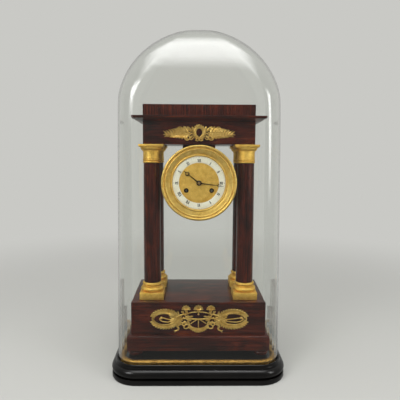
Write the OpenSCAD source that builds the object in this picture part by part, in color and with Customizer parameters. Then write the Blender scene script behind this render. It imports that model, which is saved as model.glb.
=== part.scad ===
// Portico mantel clock under a glass dome, in millimetres.
// +Z is up, the dial faces -Y, and the origin is at the bottom centre of the base.

/* [Glass dome] */
// Room at each side, from the lower plinth to the outside of the glass
dome_room_x = 18.35; // [15:0.05:28]
// Room in front and behind, from the lower plinth to the outside of the glass
dome_room_y = 26.2; // [22:0.1:36]
// Corner radius of the dome in plan
dome_corner = 40; // [38:1:50]
// How far above the attic's top the crown begins, or below it where negative
dome_headroom = -4; // [-8:0.2:60]
// Height of the rounded crown
dome_crown_h = 153; // [120:1:180]
// How far each glass wall leans in between its foot and the crown
dome_taper = 3.6; // [0:0.2:6]
// Thickness of the glass
glass_t = 3; // [2:0.25:4]
// Running gap between the glass and the base or platform
dome_gap = 1; // [0.5:0.1:1.5]

/* [Base] */
// Height of the ebonised base up to its lip
socle_h = 36; // [34:0.5:44]
// Distance from the glass to the widest moulding
socle_margin = 12.5; // [11:0.5:20]
// Radius of the large torus moulding
torus_r = 9; // [7:0.5:9.5]
// Depth of the recess that takes the platform and the glass
recess_depth = 5; // [3:0.5:8]
// Thickness of the platform board
platform_t = 7; // [6:0.5:10]
// Width of the gilt slip that wraps the platform's edge
fillet_w = 10; // [5:0.5:10]
// Height of the gilt slip above the platform
fillet_h = 3.2; // [2:0.2:4]

/* [Case] */
// Diameter of a bun foot
foot_d = 29; // [22:1:34]
// Height of a bun foot
foot_h = 12; // [8:0.5:16]
// How far the lower plinth stands out from the plinth box, all round
lower_out = 7.55; // [5:0.05:8.5]
// Height of the lower plinth's straight face
lower_h = 26.4; // [18:0.2:34]
// Height of the moulding on top of the lower plinth
lower_moulding_h = 3.2; // [2:0.2:6]
// Width of the plinth box
plinth_w = 259; // [240:1:262]
// Depth of the plinth box
plinth_d = 153.5; // [136:0.5:156]
// Height of the plinth box with its top board
plinth_h = 64.1; // [56:0.5:80]
// Thickness of the case boards
board_t = 10; // [7:0.5:14]
// Thickness of the plinth's top board
top_board_t = 6; // [4:0.5:10]

/* [Columns] */
// Distance between the left and right columns
column_span_x = 183; // [181:1:196]
// Distance between the front and rear columns
column_span_y = 79.7; // [56:0.1:84]
// Diameter of a shaft at its foot
shaft_foot_d = 33.6; // [26:0.2:34]
// Diameter of a shaft at its neck
shaft_neck_d = 32.4; // [24:0.2:33.6]
// Length of a shaft
shaft_h = 234.6; // [226:0.2:250]
// Side of the square block under a column
block_w = 46.8; // [40:0.2:48]
// Height of that block
block_h = 14; // [8:0.5:18]
// Height of the turned mouldings between block and shaft
base_turning_h = 18; // [12:0.5:24]
// Side of the square abacus on a capital
abacus_w = 47; // [42:0.5:48]
// Thickness of the abacus
abacus_t = 5.5; // [3:0.5:8]
// Height of the echinus under the abacus
echinus_h = 6; // [4:0.5:9]
// Height of the capital's neck
neck_h = 15.9; // [10:0.1:24]
// Diameter of the capital's neck
neck_d = 34.2; // [33.6:0.1:36]
// Height of the two rings under the neck
rings_h = 8; // [6:0.5:10]

/* [Entablature] */
// Width of the frieze
frieze_w = 213.9; // [200:0.5:228]
// Depth of the frieze
frieze_d = 110.6; // [100:0.5:120]
// Height of the frieze
frieze_h = 42; // [34:0.5:52]
// Thickness of the soffit board between the frieze boards
soffit_t = 8; // [5:0.5:12]
// Height of the cove moulding under the cornice slab
cove_h = 6.7; // [5:0.1:12]
// How far the cornice slab stands out from the frieze
cornice_out = 19.05; // [12:0.05:21]
// Thickness of the cornice slab
cornice_t = 4; // [3:0.5:8]
// Height of the attic block
attic_h = 22.5; // [12:0.5:26]

/* [Mounts] */
// Thickness of the gilt mounts
mount_t = 3; // [2:0.5:5]
// Width of the upper mount
upper_mount_w = 137; // [110:1:160]
// Width of the lower mount
lower_mount_w = 188; // [150:1:220]

/* [Dial and drum] */
// Radius of the bezel
bezel_r = 72; // [69:0.5:74]
// Depth of the bezel
bezel_depth = 8; // [6.5:0.5:11]
// Gap between the bezel's top and the soffit
bezel_gap = 1; // [0.5:0.5:8]
// Radius of the opening in the bezel
dial_open_r = 51.2; // [50.9:0.1:53]
// Outer radius of the enamel chapter ring
chapter_r = 50.5; // [48:0.5:50.5]
// Inner radius of the enamel chapter ring
chapter_inner_r = 38; // [34:0.5:42]
// Thickness of the enamel ring
chapter_t = 1.5; // [1:0.1:2]
// Radius of the dial plate
dial_plate_r = 56; // [54:0.5:60]
// Thickness of the dial plate
dial_plate_t = 1.5; // [1:0.1:2]
// How far the bezel's seat stands in front of the frieze
drum_out = 6.7; // [3:0.1:10]
// Outer radius of the drum
drum_r = 66; // [65:0.5:67]
// Wall of the drum
drum_wall = 1.5; // [1:0.1:2]
// Length of the drum
drum_l = 84; // [80:1:96]
// Width of the saddle block that carries the drum
saddle_w = 64; // [40:1:80]
// Depth of the saddle block
saddle_d = 50; // [30:1:56]

/* [Hands] */
// Time shown, hours
shown_hour = 10; // [1:1:12]
// Time shown, minutes
shown_minute = 16.2; // [0:0.1:59]
// Length of the hour hand from the centre
hour_hand_l = 38; // [30:0.5:42]
// Length of the minute hand from the centre
minute_hand_l = 47.5; // [44:0.5:50]
// Thickness of each hand
hand_t = 0.8; // [0.6:0.1:1]

/* [Movement] */
// Distance of each winding square from the centre line
winding_x = 24.1; // [23:0.1:26]
// Distance of the winding squares below the dial's centre
winding_drop = 14.4; // [13.5:0.1:16]
// Radius of the movement's plates
plate_r = 46; // [45:0.5:52]
// Thickness of each plate
plate_t = 2.2; // [1.5:0.1:3]
// Distance between the plates
plate_gap = 34; // [32:0.5:38]
// Radius of the winding arbors
winding_arbor_r = 2.6; // [2.2:0.1:3]
// Radius of the barrels
barrel_r = 16.5; // [14:0.5:17]
// Radial clearance of a shaft in its hole
shaft_gap = 0.05; // [0.02:0.01:0.1]
// Clearance between pieces that move past each other
move_gap = 0.3; // [0.2:0.05:0.5]
// Radius of the bell
bell_r = 30; // [24:0.5:32]

/* [Hidden] */
$fn = 64;

// Colours
ebony = "#15120f";
mahogany = "#4a1f12";
gilt = "#c79a3f";
brass = "#b08d45";
steel = "#7d8086";
blued = "#1d1b22";

// Heights, from the table up
recess_z = socle_h - recess_depth;
platform_z = recess_z + platform_t;
lower_z = platform_z + foot_h;
plinth_z = lower_z + lower_h + lower_moulding_h;
column_z = plinth_z + plinth_h;
shaft_z = column_z + block_h + base_turning_h;
capital_z = shaft_z + shaft_h;
capital_h = rings_h + neck_h + echinus_h + abacus_t;
soffit_z = capital_z + capital_h;
cove_z = soffit_z + frieze_h;
slab_z = cove_z + cove_h;
attic_z = slab_z + cornice_t;
lower_w = plinth_w + 2 * lower_out;
lower_d = plinth_d + 2 * lower_out;
dome_w = lower_w + 2 * dome_room_x;
dome_d = lower_d + 2 * dome_room_y;
dial_z = soffit_z - bezel_gap - bezel_r;

// Plan sizes of the base
seat_gap = 0.3;
socle_w = dome_w + 2 * socle_margin;
socle_d = dome_d + 2 * socle_margin;
socle_corner = dome_corner + socle_margin;
platform_w = dome_w - 2 * (glass_t + dome_gap);
platform_d = dome_d - 2 * (glass_t + dome_gap);
platform_corner = dome_corner - glass_t - dome_gap;

// Places along Y, from the dial back through the drum
bezel_seat_y = -frieze_d / 2 - drum_out;
bezel_seat_h = 2;
dial_front_y = bezel_seat_y - bezel_seat_h;
dial_back_y = dial_front_y + dial_plate_t;
motion_depth = 7;
front_plate_y = dial_back_y + motion_depth;
train_y = front_plate_y + plate_t;
back_plate_y = train_y + plate_gap;
back_plate_rear_y = back_plate_y + plate_t;
drum_back_y = bezel_seat_y + drum_l;

// Motion work: two pairs of gears on one centre distance turn the hour wheel at a twelfth
cannon_teeth = 12;
minute_wheel_teeth = 36;
minute_pinion_teeth = 10;
hour_wheel_teeth = 40;
motion_distance = 15;
cannon_module = 2 * motion_distance / (cannon_teeth + minute_wheel_teeth);
hour_module = 2 * motion_distance / (minute_pinion_teeth + hour_wheel_teeth);
cannon_pipe_r = 1.9;
hour_pipe_r = 3;
centre_arbor_r = 1.1;

// Going train: the barrel drives the centre arbor through the intermediate wheel
barrel_teeth = 84;
intermediate_pinion_teeth = 12;
intermediate_teeth = 72;
centre_pinion_teeth = 12;
barrel_module = 0.45;
intermediate_module = 0.5;
barrel_mesh = barrel_module * (barrel_teeth + intermediate_pinion_teeth) / 2;
centre_mesh = intermediate_module * (intermediate_teeth + centre_pinion_teeth) / 2;
winding_distance = norm([winding_x, winding_drop]);
mesh_along = (centre_mesh ^ 2 - barrel_mesh ^ 2 + winding_distance ^ 2) / (2 * winding_distance);
mesh_across = sqrt(centre_mesh ^ 2 - mesh_along ^ 2);
intermediate_x = (mesh_along * winding_x + mesh_across * winding_drop) / winding_distance;
intermediate_up = (mesh_across * winding_x - mesh_along * winding_drop) / winding_distance;
to_intermediate = atan2(intermediate_up, intermediate_x);
barrel_to_intermediate = atan2(intermediate_up + winding_drop, intermediate_x - winding_x);

// Angles of the hands, clockwise from twelve
minute_angle = shown_minute * 6;
hour_angle = shown_hour * 30 + shown_minute / 2;

// A circular arc as points in the plane
function arc(cx, cy, r, from, to, steps) =
  [for (i = [0 : steps]) let (a = from + (to - from) * i / steps) [cx + r * cos(a), cy + r * sin(a)]];

// Tooth angle of a gear so that it meshes with another whose tooth angle is known
function meshed(angle, teeth, direction, driver_teeth) =
  direction + 180 + 180 / teeth - (angle - direction) * driver_teeth / teeth;

// Outline of a clock wheel: each tooth has a root, a flank and a rounded tip
function gear_points(teeth, m, angle) =
  let (pitch = 360 / teeth, r = m * teeth / 2)
  [for (i = [0 : teeth - 1], p = [
      [-0.27, -1.25], [-0.215, 0], [-0.1, 0.8], [0.1, 0.8], [0.215, 0], [0.27, -1.25]])
    let (a = angle + (i + p[0]) * pitch, d = r + p[1] * m) [d * cos(a), d * sin(a)]];

module gear(teeth, m, angle) {
  polygon(gear_points(teeth, m, angle));
}

// Places a flat outline in the dial's plane and gives it depth from y_back forwards
module facing(x, up, y_back, depth) {
  translate([x, y_back, dial_z + up])
    rotate([90, 0, 0])
      linear_extrude(depth)
        children();
}

// Turns a profile of [radius, distance forwards] about an axis along Y
module turned(x, up, y_back, profile) {
  translate([x, y_back, dial_z + up])
    rotate([90, 0, 0])
      rotate_extrude()
        polygon(profile);
}

module rounded_rectangle(w, d, r) {
  square([w - 2 * r, d], center = true);
  square([w, d - 2 * r], center = true);
  for (x = [-1, 1], y = [-1, 1])
    translate([x * (w / 2 - r), y * (d / 2 - r)])
      circle(r);
}

// Runs an edge profile round a board with rounded corners.
// The profile's x is 0 at the board's edge and negative inwards.
module edge_run(w, d, r, profile) {
  for (x = [-1, 1], y = [-1, 1])
    translate([x * (w / 2 - r), y * (d / 2 - r), 0])
      rotate([0, 0, x > 0 ? (y > 0 ? 0 : -90) : (y > 0 ? 90 : 180)])
        rotate_extrude(angle = 90)
          translate([r, 0])
            polygon(profile);
  for (side = [0, 1])
    rotate([0, 0, side * 180]) {
      translate([w / 2, 0, 0])
        rotate([90, 0, 0])
          linear_extrude(d - 2 * r, center = true)
            polygon(profile);
      translate([0, d / 2, 0])
        rotate([90, 0, 90])
          linear_extrude(w - 2 * r, center = true)
            polygon(profile);
    }
}

// A square-cornered board whose edge follows [distance in, height] points, mitred at the corners
module mitred_board(w, d, edge) {
  n = len(edge) - 1;
  x_profile = concat(
    [for (p = edge) [w / 2 - p[0], p[1]]],
    [for (i = [n : -1 : 0]) [edge[i][0] - w / 2, edge[i][1]]]);
  y_profile = concat(
    [for (p = edge) [d / 2 - p[0], p[1]]],
    [for (i = [n : -1 : 0]) [edge[i][0] - d / 2, edge[i][1]]]);
  intersection() {
    rotate([90, 0, 0])
      linear_extrude(d, center = true)
        polygon(x_profile);
    rotate([90, 0, 90])
      linear_extrude(w, center = true)
        polygon(y_profile);
  }
}

// Ebonised base
torus_z = torus_r + 10;
lip_in = socle_margin - dome_gap - 3;
socle_edge = concat(
  [[-socle_corner, 0], [-1.5, 0], [-0.5, 1], [-0.5, torus_z - torus_r], [-torus_r, torus_z - torus_r]],
  arc(-torus_r, torus_z, torus_r, -90, 90, 14),
  [[-torus_r, torus_z + torus_r], [-torus_r + 2, torus_z + torus_r], [-torus_r + 2, torus_z + torus_r + 1]],
  arc(-1, socle_h - 2, lip_in - 1, 205, 182, 5),
  [[-lip_in, socle_h - 1.5], [-lip_in - 0.5, socle_h], [-socle_corner, socle_h]]
);

module socle() {
  color(ebony)
    difference() {
      union() {
        edge_run(socle_w, socle_d, socle_corner, socle_edge);
        translate([0, 0, socle_h / 2])
          cube([socle_w - 2 * socle_corner, socle_d - 2 * socle_corner, socle_h], center = true);
      }
      translate([0, 0, recess_z])
        linear_extrude(recess_depth + 1)
          rounded_rectangle(dome_w + 2 * dome_gap, dome_d + 2 * dome_gap, dome_corner + dome_gap);
    }
}

// The platform board stops short of the gilt slip's upright leg
slip_t = 1.5;

module platform() {
  color(ebony)
    translate([0, 0, recess_z])
      linear_extrude(platform_t)
        rounded_rectangle(platform_w - 2 * slip_t, platform_d - 2 * slip_t, platform_corner - slip_t);
}

// Gilt slip: half-round on the platform, with a leg down the board's edge
fillet_arc_r = (fillet_w ^ 2 / 4 + fillet_h ^ 2) / (2 * fillet_h);
fillet_half_angle = asin(fillet_w / 2 / fillet_arc_r);
slip_leg = platform_t - seat_gap;
fillet_profile = concat(
  arc(-fillet_w / 2, fillet_h - fillet_arc_r, fillet_arc_r,
    90 + fillet_half_angle, 90 - fillet_half_angle, 8),
  [[0, -slip_leg], [-slip_t, -slip_leg], [-slip_t, 0]]);

module platform_fillet() {
  color(gilt)
    translate([0, 0, platform_z])
      edge_run(platform_w, platform_d, platform_corner, fillet_profile);
}

// Glass dome: rings of points round the plan, which turn from leaning walls into the crown
corner_steps = 9;
crown_rings = 12;
crown_end = 84;

function plan_ring(a, b, r, z) =
  [for (q = [0 : 3], i = [0 : corner_steps])
    let (t = q * 90 + i * 90 / corner_steps)
    [((q == 0 || q == 3) ? a - r : r - a) + r * cos(t), ((q < 2) ? b - r : r - b) + r * sin(t), z]];

function dome_rings(inset, foot_z) =
  let (foot_a = dome_w / 2 - inset, foot_b = dome_d / 2 - inset, r = dome_corner - inset,
    a = foot_a - dome_taper, b = foot_b - dome_taper,
    spring_z = attic_z + attic_h + dome_headroom, crown = dome_crown_h - inset)
  concat(
    plan_ring(foot_a, foot_b, r, foot_z),
    [for (k = [0 : crown_rings])
      let (t = crown_end * k / crown_rings, s = cos(t), round_r = s * (r + (0.94 * b - r) * sin(t) ^ 1.2))
      each plan_ring(a * s, b * s, round_r, spring_z + crown * sin(t))],
    [[0, 0, spring_z + crown]]
  );

ring_size = 4 * (corner_steps + 1);
shell_rings = crown_rings + 2;
shell_size = shell_rings * ring_size + 1;

function shell_faces(start, outwards) =
  [for (k = [0 : shell_rings - 1], i = [0 : ring_size - 1])
    let (a = start + k * ring_size + i, b = start + k * ring_size + (i + 1) % ring_size)
    each (k < shell_rings - 1
      ? (outwards
        ? [[a, a + ring_size, b], [b, a + ring_size, b + ring_size]]
        : [[a, b, a + ring_size], [b, b + ring_size, a + ring_size]])
      : (outwards ? [[a, start + shell_size - 1, b]] : [[a, b, start + shell_size - 1]]))];

foot_faces = [for (i = [0 : ring_size - 1])
  let (j = (i + 1) % ring_size)
  each [[i, j, shell_size + i], [j, shell_size + j, shell_size + i]]];

module glass_dome() {
  color([0.8, 0.88, 0.86, 0.25])
    polyhedron(
      points = concat(dome_rings(0, recess_z + seat_gap), dome_rings(glass_t, recess_z + seat_gap)),
      faces = concat(shell_faces(0, true), shell_faces(shell_size, false), foot_faces),
      convexity = 4
    );
}

// Case below the columns
foot_in = 0.5;
foot_profile = concat([[0, 0], [foot_d / 2 - 4, 0]],
  arc(foot_d / 2 - foot_h / 2, foot_h / 2, foot_h / 2, -50, 60, 12),
  [[foot_d / 2 - 4, foot_h], [0, foot_h]]);

foot_x = lower_w / 2 - foot_d / 2 - foot_in;
foot_y = lower_d / 2 - foot_d / 2 - foot_in;

module bun_feet() {
  color(mahogany)
    for (x = [-1, 1], y = [-1, 1])
      translate([x * foot_x, y * foot_y, platform_z])
        rotate_extrude()
          polygon(foot_profile);
}

lower_edge = concat([[0, 0], [0, lower_h]],
  [for (p = arc(lower_out - 0.6, 0, lower_out - 0.6, 180, 90, 8))
    [p[0], lower_h + p[1] * lower_moulding_h / (lower_out - 0.6)]]);

module lower_plinth() {
  color(mahogany)
    translate([0, 0, lower_z])
      mitred_board(lower_w, lower_d, lower_edge);
}

plinth_board_h = plinth_h - top_board_t;

module upright_board(w, d, h, x, y, z) {
  color(mahogany)
    translate([x - w / 2, y - d / 2, z])
      cube([w, d, h]);
}

module plinth_front() {
  upright_board(plinth_w, board_t, plinth_board_h, 0, -plinth_d / 2 + board_t / 2, plinth_z);
}

module plinth_back() {
  upright_board(plinth_w, board_t, plinth_board_h, 0, plinth_d / 2 - board_t / 2, plinth_z);
}

module plinth_sides() {
  for (x = [-1, 1])
    upright_board(board_t, plinth_d - 2 * board_t, plinth_board_h,
      x * (plinth_w - board_t) / 2, 0, plinth_z);
}

top_board_round = 1;
top_board_edge = concat(
  [[0, 0], [0, top_board_t - top_board_round]],
  arc(top_board_round, top_board_t - top_board_round, top_board_round, 180, 90, 4));

module plinth_top() {
  color(mahogany)
    translate([0, 0, column_z - top_board_t])
      mitred_board(plinth_w, plinth_d, top_board_edge);
}

// Columns
module at_column(x, y, z) {
  translate([x * column_span_x / 2, y * column_span_y / 2, z])
    children();
}

torus_h = base_turning_h * 0.52;
scotia_h = base_turning_h * 0.12;
top_ring_h = base_turning_h - torus_h - scotia_h;
torus_out = block_w / 2 - 0.8;
top_ring_out = shaft_foot_d / 2 + 2.7;
base_profile = concat(
  [[0, 0], [torus_out - torus_h / 2, 0]],
  arc(torus_out - torus_h / 2, torus_h / 2, torus_h / 2, -90, 90, 10),
  [[top_ring_out - 2.2, torus_h], [top_ring_out - 2.2, torus_h + scotia_h]],
  arc(top_ring_out - top_ring_h / 2, torus_h + scotia_h + top_ring_h / 2, top_ring_h / 2, -90, 90, 8),
  [[0, base_turning_h]]
);

module column_base(x, y) {
  color(gilt)
    at_column(x, y, column_z) {
      translate([0, 0, block_h / 2])
        cube([block_w, block_w, block_h], center = true);
      translate([0, 0, block_h])
        rotate_extrude()
          polygon(base_profile);
    }
}

module column(x, y) {
  color(mahogany)
    at_column(x, y, shaft_z)
      rotate_extrude()
        polygon([[0, 0], [shaft_foot_d / 2, 0], [shaft_neck_d / 2, shaft_h], [0, shaft_h]]);
}

ring_h = rings_h * 0.45;
ring_out = neck_d / 2 + 0.8;
echinus_out = neck_d / 2 + 4.9;
capital_profile = concat(
  [[0, 0], [ring_out - ring_h / 2, 0]],
  arc(ring_out - ring_h / 2, ring_h / 2, ring_h / 2, -90, 90, 6),
  [[neck_d / 2 - 0.9, ring_h], [neck_d / 2 - 0.9, rings_h - ring_h]],
  arc(ring_out - ring_h / 2, rings_h - ring_h / 2, ring_h / 2, -90, 90, 6),
  [[neck_d / 2, rings_h], [neck_d / 2, rings_h + neck_h - 1.2], [neck_d / 2 + 1.2, rings_h + neck_h - 1.2]],
  [[neck_d / 2 + 1.2, rings_h + neck_h]],
  [for (p = arc(0, 0, 1, -80, 0, 8))
    [neck_d / 2 + 0.6 + p[0] * (echinus_out - neck_d / 2 - 0.6), rings_h + neck_h + echinus_h * (1 + p[1])]],
  [[0, rings_h + neck_h + echinus_h]]
);

module capital(x, y) {
  color(gilt)
    at_column(x, y, capital_z) {
      rotate_extrude()
        polygon(capital_profile);
      translate([0, 0, capital_h - abacus_t / 2])
        cube([abacus_w, abacus_w, abacus_t], center = true);
    }
}

// Entablature
module soffit() {
  upright_board(frieze_w - 2 * board_t, frieze_d - 2 * board_t, soffit_t, 0, 0, soffit_z);
}

module frieze_front() {
  upright_board(frieze_w, board_t, frieze_h, 0, -frieze_d / 2 + board_t / 2, soffit_z);
}

module frieze_back() {
  upright_board(frieze_w, board_t, frieze_h, 0, frieze_d / 2 - board_t / 2, soffit_z);
}

module frieze_ends() {
  for (x = [-1, 1])
    upright_board(board_t, frieze_d - 2 * board_t, frieze_h, x * (frieze_w - board_t) / 2, 0, soffit_z);
}

cove_out = cornice_out - 1;
cove_fillet = 1.5;
cove_foot = 0.8;
cove_lip = 1;
cove_rise = cove_h - cove_foot - cove_lip;
cove_edge = concat(
  [[cove_out, 0], [cove_out, cove_foot]],
  [for (p = arc(0, 0, 1, 180, 90, 8))
    [cove_fillet - p[0] * (cove_out - cove_fillet), cove_foot + cove_rise * (1 - sqrt(1 - p[1] ^ 2))]],
  [[0, cove_h - cove_lip], [0, cove_h]]);

module cornice_cove() {
  color(mahogany)
    translate([0, 0, cove_z])
      mitred_board(frieze_w + 2 * cove_out, frieze_d + 2 * cove_out, cove_edge);
}

module cornice_slab() {
  color(mahogany)
    translate([0, 0, slab_z])
      mitred_board(frieze_w + 2 * cornice_out, frieze_d + 2 * cornice_out,
        [[0.8, 0], [0, 0.8], [0, cornice_t - 0.8], [0.8, cornice_t]]);
}

module attic() {
  color(mahogany)
    translate([0, 0, attic_z])
      mitred_board(frieze_w, frieze_d, [[0, 0], [0, attic_h - 1], [1, attic_h]]);
}

// Gilt mounts, drawn flat and then given their thickness
function leaf_points(l, w) =
  concat([for (i = [0 : 4]) [l * i / 4, w / 2 * sin(180 * (i / 4) ^ 0.8)]],
    [for (i = [3 : -1 : 1]) [l * i / 4, -w / 2 * sin(180 * (i / 4) ^ 0.8)]]);

module leaf(x, y, angle, l, w) {
  translate([x, y])
    rotate(angle)
      polygon(leaf_points(l, w));
}

// A flat band that follows a row of points
module stroke(points, w) {
  for (i = [0 : len(points) - 2])
    hull() {
      translate(points[i])
        circle(w / 2, $fn = 8);
      translate(points[i + 1])
        circle(w / 2, $fn = 8);
    }
}

function oval(cx, cy, rx, ry, from, to, steps) =
  [for (p = arc(0, 0, 1, from, to, steps)) [cx + rx * p[0], cy + ry * p[1]]];

module upper_mount_outline() {
  // Oval wreath in the middle
  difference() {
    scale([9, 14])
      circle(1, $fn = 28);
    scale([4.2, 9])
      circle(1, $fn = 24);
  }
  for (side = [-1, 1])
    scale([side, 1]) {
      // Stem of the spray, then its leaves, which grow shorter towards the tip
      stroke([[8, -2], [20, 1], [34, 0], [48, -1], [60, 0]], 2);
      for (i = [0 : 8])
        let (x = 12 + i * 6, reach = 15 - i * 0.9) {
          leaf(x, 0, 38 - i * 3, reach, 5.5);
          leaf(x, 0, -38 + i * 3, reach, 5.5);
        }
      leaf(57, 0, 0, 10, 5);
      translate([24, -9])
        circle(4.5, $fn = 12);
      translate([17, 8])
        circle(4, $fn = 12);
    }
}

module laurel_wreath(cx) {
  difference() {
    translate([cx, 0])
      scale([26, 16])
        circle(1, $fn = 36);
    translate([cx, 0])
      scale([21.5, 11])
        circle(1, $fn = 30);
  }
  for (i = [0 : 25])
    let (t = i * 360 / 26)
      leaf(cx + 24 * cos(t), 13.5 * sin(t), t + 90 + (i % 2 == 0 ? 38 : -38), 8.5, 4);
}

module lower_mount_outline() {
  for (side = [-1, 1]) {
    laurel_wreath(side * 63.5);
    scale([side, 1]) {
      // Loop inside the wreath, with its knob
      stroke(oval(64, -0.5, 13, 4.5, -185, 165, 16), 1.8);
      translate([76.5, 1.5])
        circle(2.6, $fn = 12);
      // Ties between the wreath and the middle
      stroke([[51, -1], [42, 1], [32, 5], [24, 9]], 2.4);
      stroke([[42, 1], [34, -4], [24, -6], [16, -10]], 2.4);
      stroke([[40, 6], [33, 2], [26, 1], [14, 1]], 4.2);
      // Ribbon bow and its tail
      stroke(oval(21, -15.5, 5, 3.6, 0, 360, 12), 1.8);
      stroke([[26, -14], [31, -12], [34, -17], [38, -20], [41, -22]], 1.8);
      // Outer palmette on its stem
      stroke([[22, 4], [22, 14]], 3);
      for (i = [-2 : 2])
        leaf(22, 13, 90 + i * 34, 9.5, 4.6);
    }
  }
  // Middle palmette, arc, bar, spokes and garland
  stroke([[0, 4], [0, 15]], 3);
  for (i = [-2 : 2])
    leaf(0, 14, 90 + i * 34, 11, 5);
  stroke(oval(0, 1, 17, 13, 25, 155, 10), 1.4);
  stroke([[-16, 1], [-8, -0.5], [0, 0], [8, -0.5], [16, 1]], 3);
  for (x = [-14, 0, 14])
    stroke([[x * 0.1, 0], [x, -16 + abs(x) * 0.4]], 1.3);
  stroke(oval(0, -6, 19, 17, 205, 335, 12), 5);
}

module mount(face_y, centre_z, s) {
  color(gilt)
    translate([0, face_y, centre_z])
      rotate([90, 0, 0])
        linear_extrude(mount_t)
          offset(delta = 0.25)
            scale([s, s])
              children();
}

// The outlines above are drawn this wide, then sized to their boards
upper_drawn_w = 134;
lower_drawn_w = 185;
upper_mount_up = 0.8;
lower_mount_up = 0.7;

module upper_mount() {
  mount(-frieze_d / 2, soffit_z + frieze_h / 2 + upper_mount_up, upper_mount_w / upper_drawn_w)
    upper_mount_outline();
}

module lower_mount() {
  mount(-plinth_d / 2, plinth_z + plinth_h / 2 + lower_mount_up, lower_mount_w / lower_drawn_w)
    lower_mount_outline();
}

// Drum that holds the movement
module drum_case() {
  color(brass)
    turned(0, 0, drum_back_y,
      [[drum_r - drum_wall, 0], [drum_r, 0], [drum_r, drum_l], [drum_r - drum_wall, drum_l]]);
}

// The saddle reaches this far down the drum, and its hollow clears the drum by the seat gap
saddle_in = 2;
saddle_up = drum_r * 0.8;
saddle_seat_gap = 0.05;

module drum_saddle() {
  color(mahogany)
    difference() {
      translate([-saddle_w / 2, drum_back_y - saddle_in - saddle_d, dial_z + saddle_up])
        cube([saddle_w, saddle_d, soffit_z - dial_z - saddle_up]);
      facing(0, 0, drum_back_y, drum_l)
        circle(drum_r + saddle_seat_gap, $fn = 96);
    }
}

back_ring_t = 4;
back_ring_in = 60;
strap_r = back_ring_in + 2.2;

module back_ring() {
  color(brass)
    difference() {
      turned(0, 0, drum_back_y + 1,
        [[back_ring_in, 0], [drum_r + 2, 0], [drum_r + 2, 1], [drum_r - drum_wall, 1],
          [drum_r - drum_wall, back_ring_t], [back_ring_in, back_ring_t]]);
      for (x = [-1, 1])
        facing(x * strap_r, 0, drum_back_y + 2, back_ring_t + 2)
          circle(1.2);
    }
}

// Straps that pull the bezel and the back ring together on the drum
strap_front_y = bezel_seat_y;
strap_back_y = drum_back_y + 1 - back_ring_t;

module straps() {
  color(steel)
    for (x = [-1, 1])
      difference() {
        facing(x * strap_r, 0, strap_back_y, strap_back_y - strap_front_y)
          square([3.6, 9], center = true);
        facing(x * strap_r, 0, strap_back_y, 8)
          circle(1.2);
      }
}

module strap_screws() {
  color(steel)
    for (x = [-1, 1]) {
      facing(x * strap_r, 0, drum_back_y + 1, 10)
        circle(1.18);
      facing(x * strap_r, 0, drum_back_y + 2.2, 1.2)
        difference() {
          circle(2.2);
          square([5, 0.6], center = true);
        }
    }
}

// Cap that pulls off the back of the drum
cap_skirt_r = back_ring_in - move_gap;
cap_t = 1;
cap_skirt = 6;
cap_flange_y = drum_back_y + 1 + move_gap;

cap_knob_l = 6;
cap_holes = 16;
cap_hole_r = 2.6;
cap_hole_ring = 30;
cap_ring_step = 12;

module back_cap() {
  color(gilt)
    difference() {
      turned(0, 0, cap_flange_y + cap_t + cap_knob_l,
        [[0, 0], [2.6, 0], [3.4, 1.2], [2.6, 3], [1.8, 4], [2.4, cap_knob_l],
          [cap_skirt_r - 0.5, cap_knob_l], [cap_skirt_r, cap_knob_l + 0.4],
          [cap_skirt_r, cap_knob_l + cap_t + cap_skirt],
          [cap_skirt_r - cap_t, cap_knob_l + cap_t + cap_skirt],
          [cap_skirt_r - cap_t, cap_knob_l + cap_t], [0, cap_knob_l + cap_t]]);
      for (ring = [0 : 1], i = [0 : cap_holes - 1])
        let (t = (i + ring / 2) * 360 / cap_holes, d = cap_hole_ring + ring * cap_ring_step)
          facing(d * cos(t), d * sin(t), cap_flange_y + cap_t + 1, cap_t + 2)
            circle(cap_hole_r);
    }
}

// Bezel: a rolled rim, a band that dishes inwards, and a bead round the opening
rim_r = 2.6;
band_out_r = bezel_r - 8;
band_in_r = dial_open_r + 3;
band_z = bezel_depth - 2;
band_dish = 2.1;
bead_r = 1.1;
bead_z = bezel_depth - 3.6;
bezel_profile = concat(
  [[dial_plate_r + seat_gap, 0], [bezel_r - 1, 0], [bezel_r, 1.5]],
  arc(bezel_r - rim_r, bezel_depth - rim_r, rim_r, 0, 150, 10),
  [[bezel_r - 6, bezel_depth - 3.2], [bezel_r - 7, bezel_depth - 2.6]],
  [for (i = [0 : 5])
    let (t = i / 5)
      [band_out_r * (1 - t) + band_in_r * t, band_z - band_dish * t ^ 1.4]],
  arc(dial_open_r + 1.3, bead_z, bead_r, 30, 190, 7),
  [[dial_open_r, bead_z - 0.4], [dial_open_r, bezel_seat_h], [dial_plate_r + seat_gap, bezel_seat_h]]
);

module bezel() {
  color(gilt)
    turned(0, 0, bezel_seat_y, bezel_profile);
}

winding_hole_r = 4.5;

module winding_holes(r, y_back, depth) {
  for (x = [-1, 1])
    facing(x * winding_x, -winding_drop, y_back, depth)
      circle(r);
}

dial_foot_r = 1.6;
dial_foot_place = 48;

module dial_plate() {
  color(gilt)
    difference() {
      union() {
        turned(0, 0, dial_back_y, [[0, 0], [dial_plate_r, 0], [dial_plate_r, dial_plate_t],
          [chapter_inner_r - 0.2, dial_plate_t], [chapter_inner_r - 0.2, dial_plate_t + chapter_t - 0.3],
          [chapter_inner_r - 1, dial_plate_t + chapter_t], [0, dial_plate_t + chapter_t]]);
        for (t = [90, 210, 330])
          facing((plate_r - 5) * cos(t), (plate_r - 5) * sin(t), front_plate_y, motion_depth)
            circle(dial_foot_r);
      }
      facing(0, 0, dial_back_y + 1, dial_plate_t + chapter_t + 2)
        circle(hour_pipe_r + 0.8);
      winding_holes(winding_hole_r, dial_back_y + 1, dial_plate_t + chapter_t + 2);
    }
}

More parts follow.
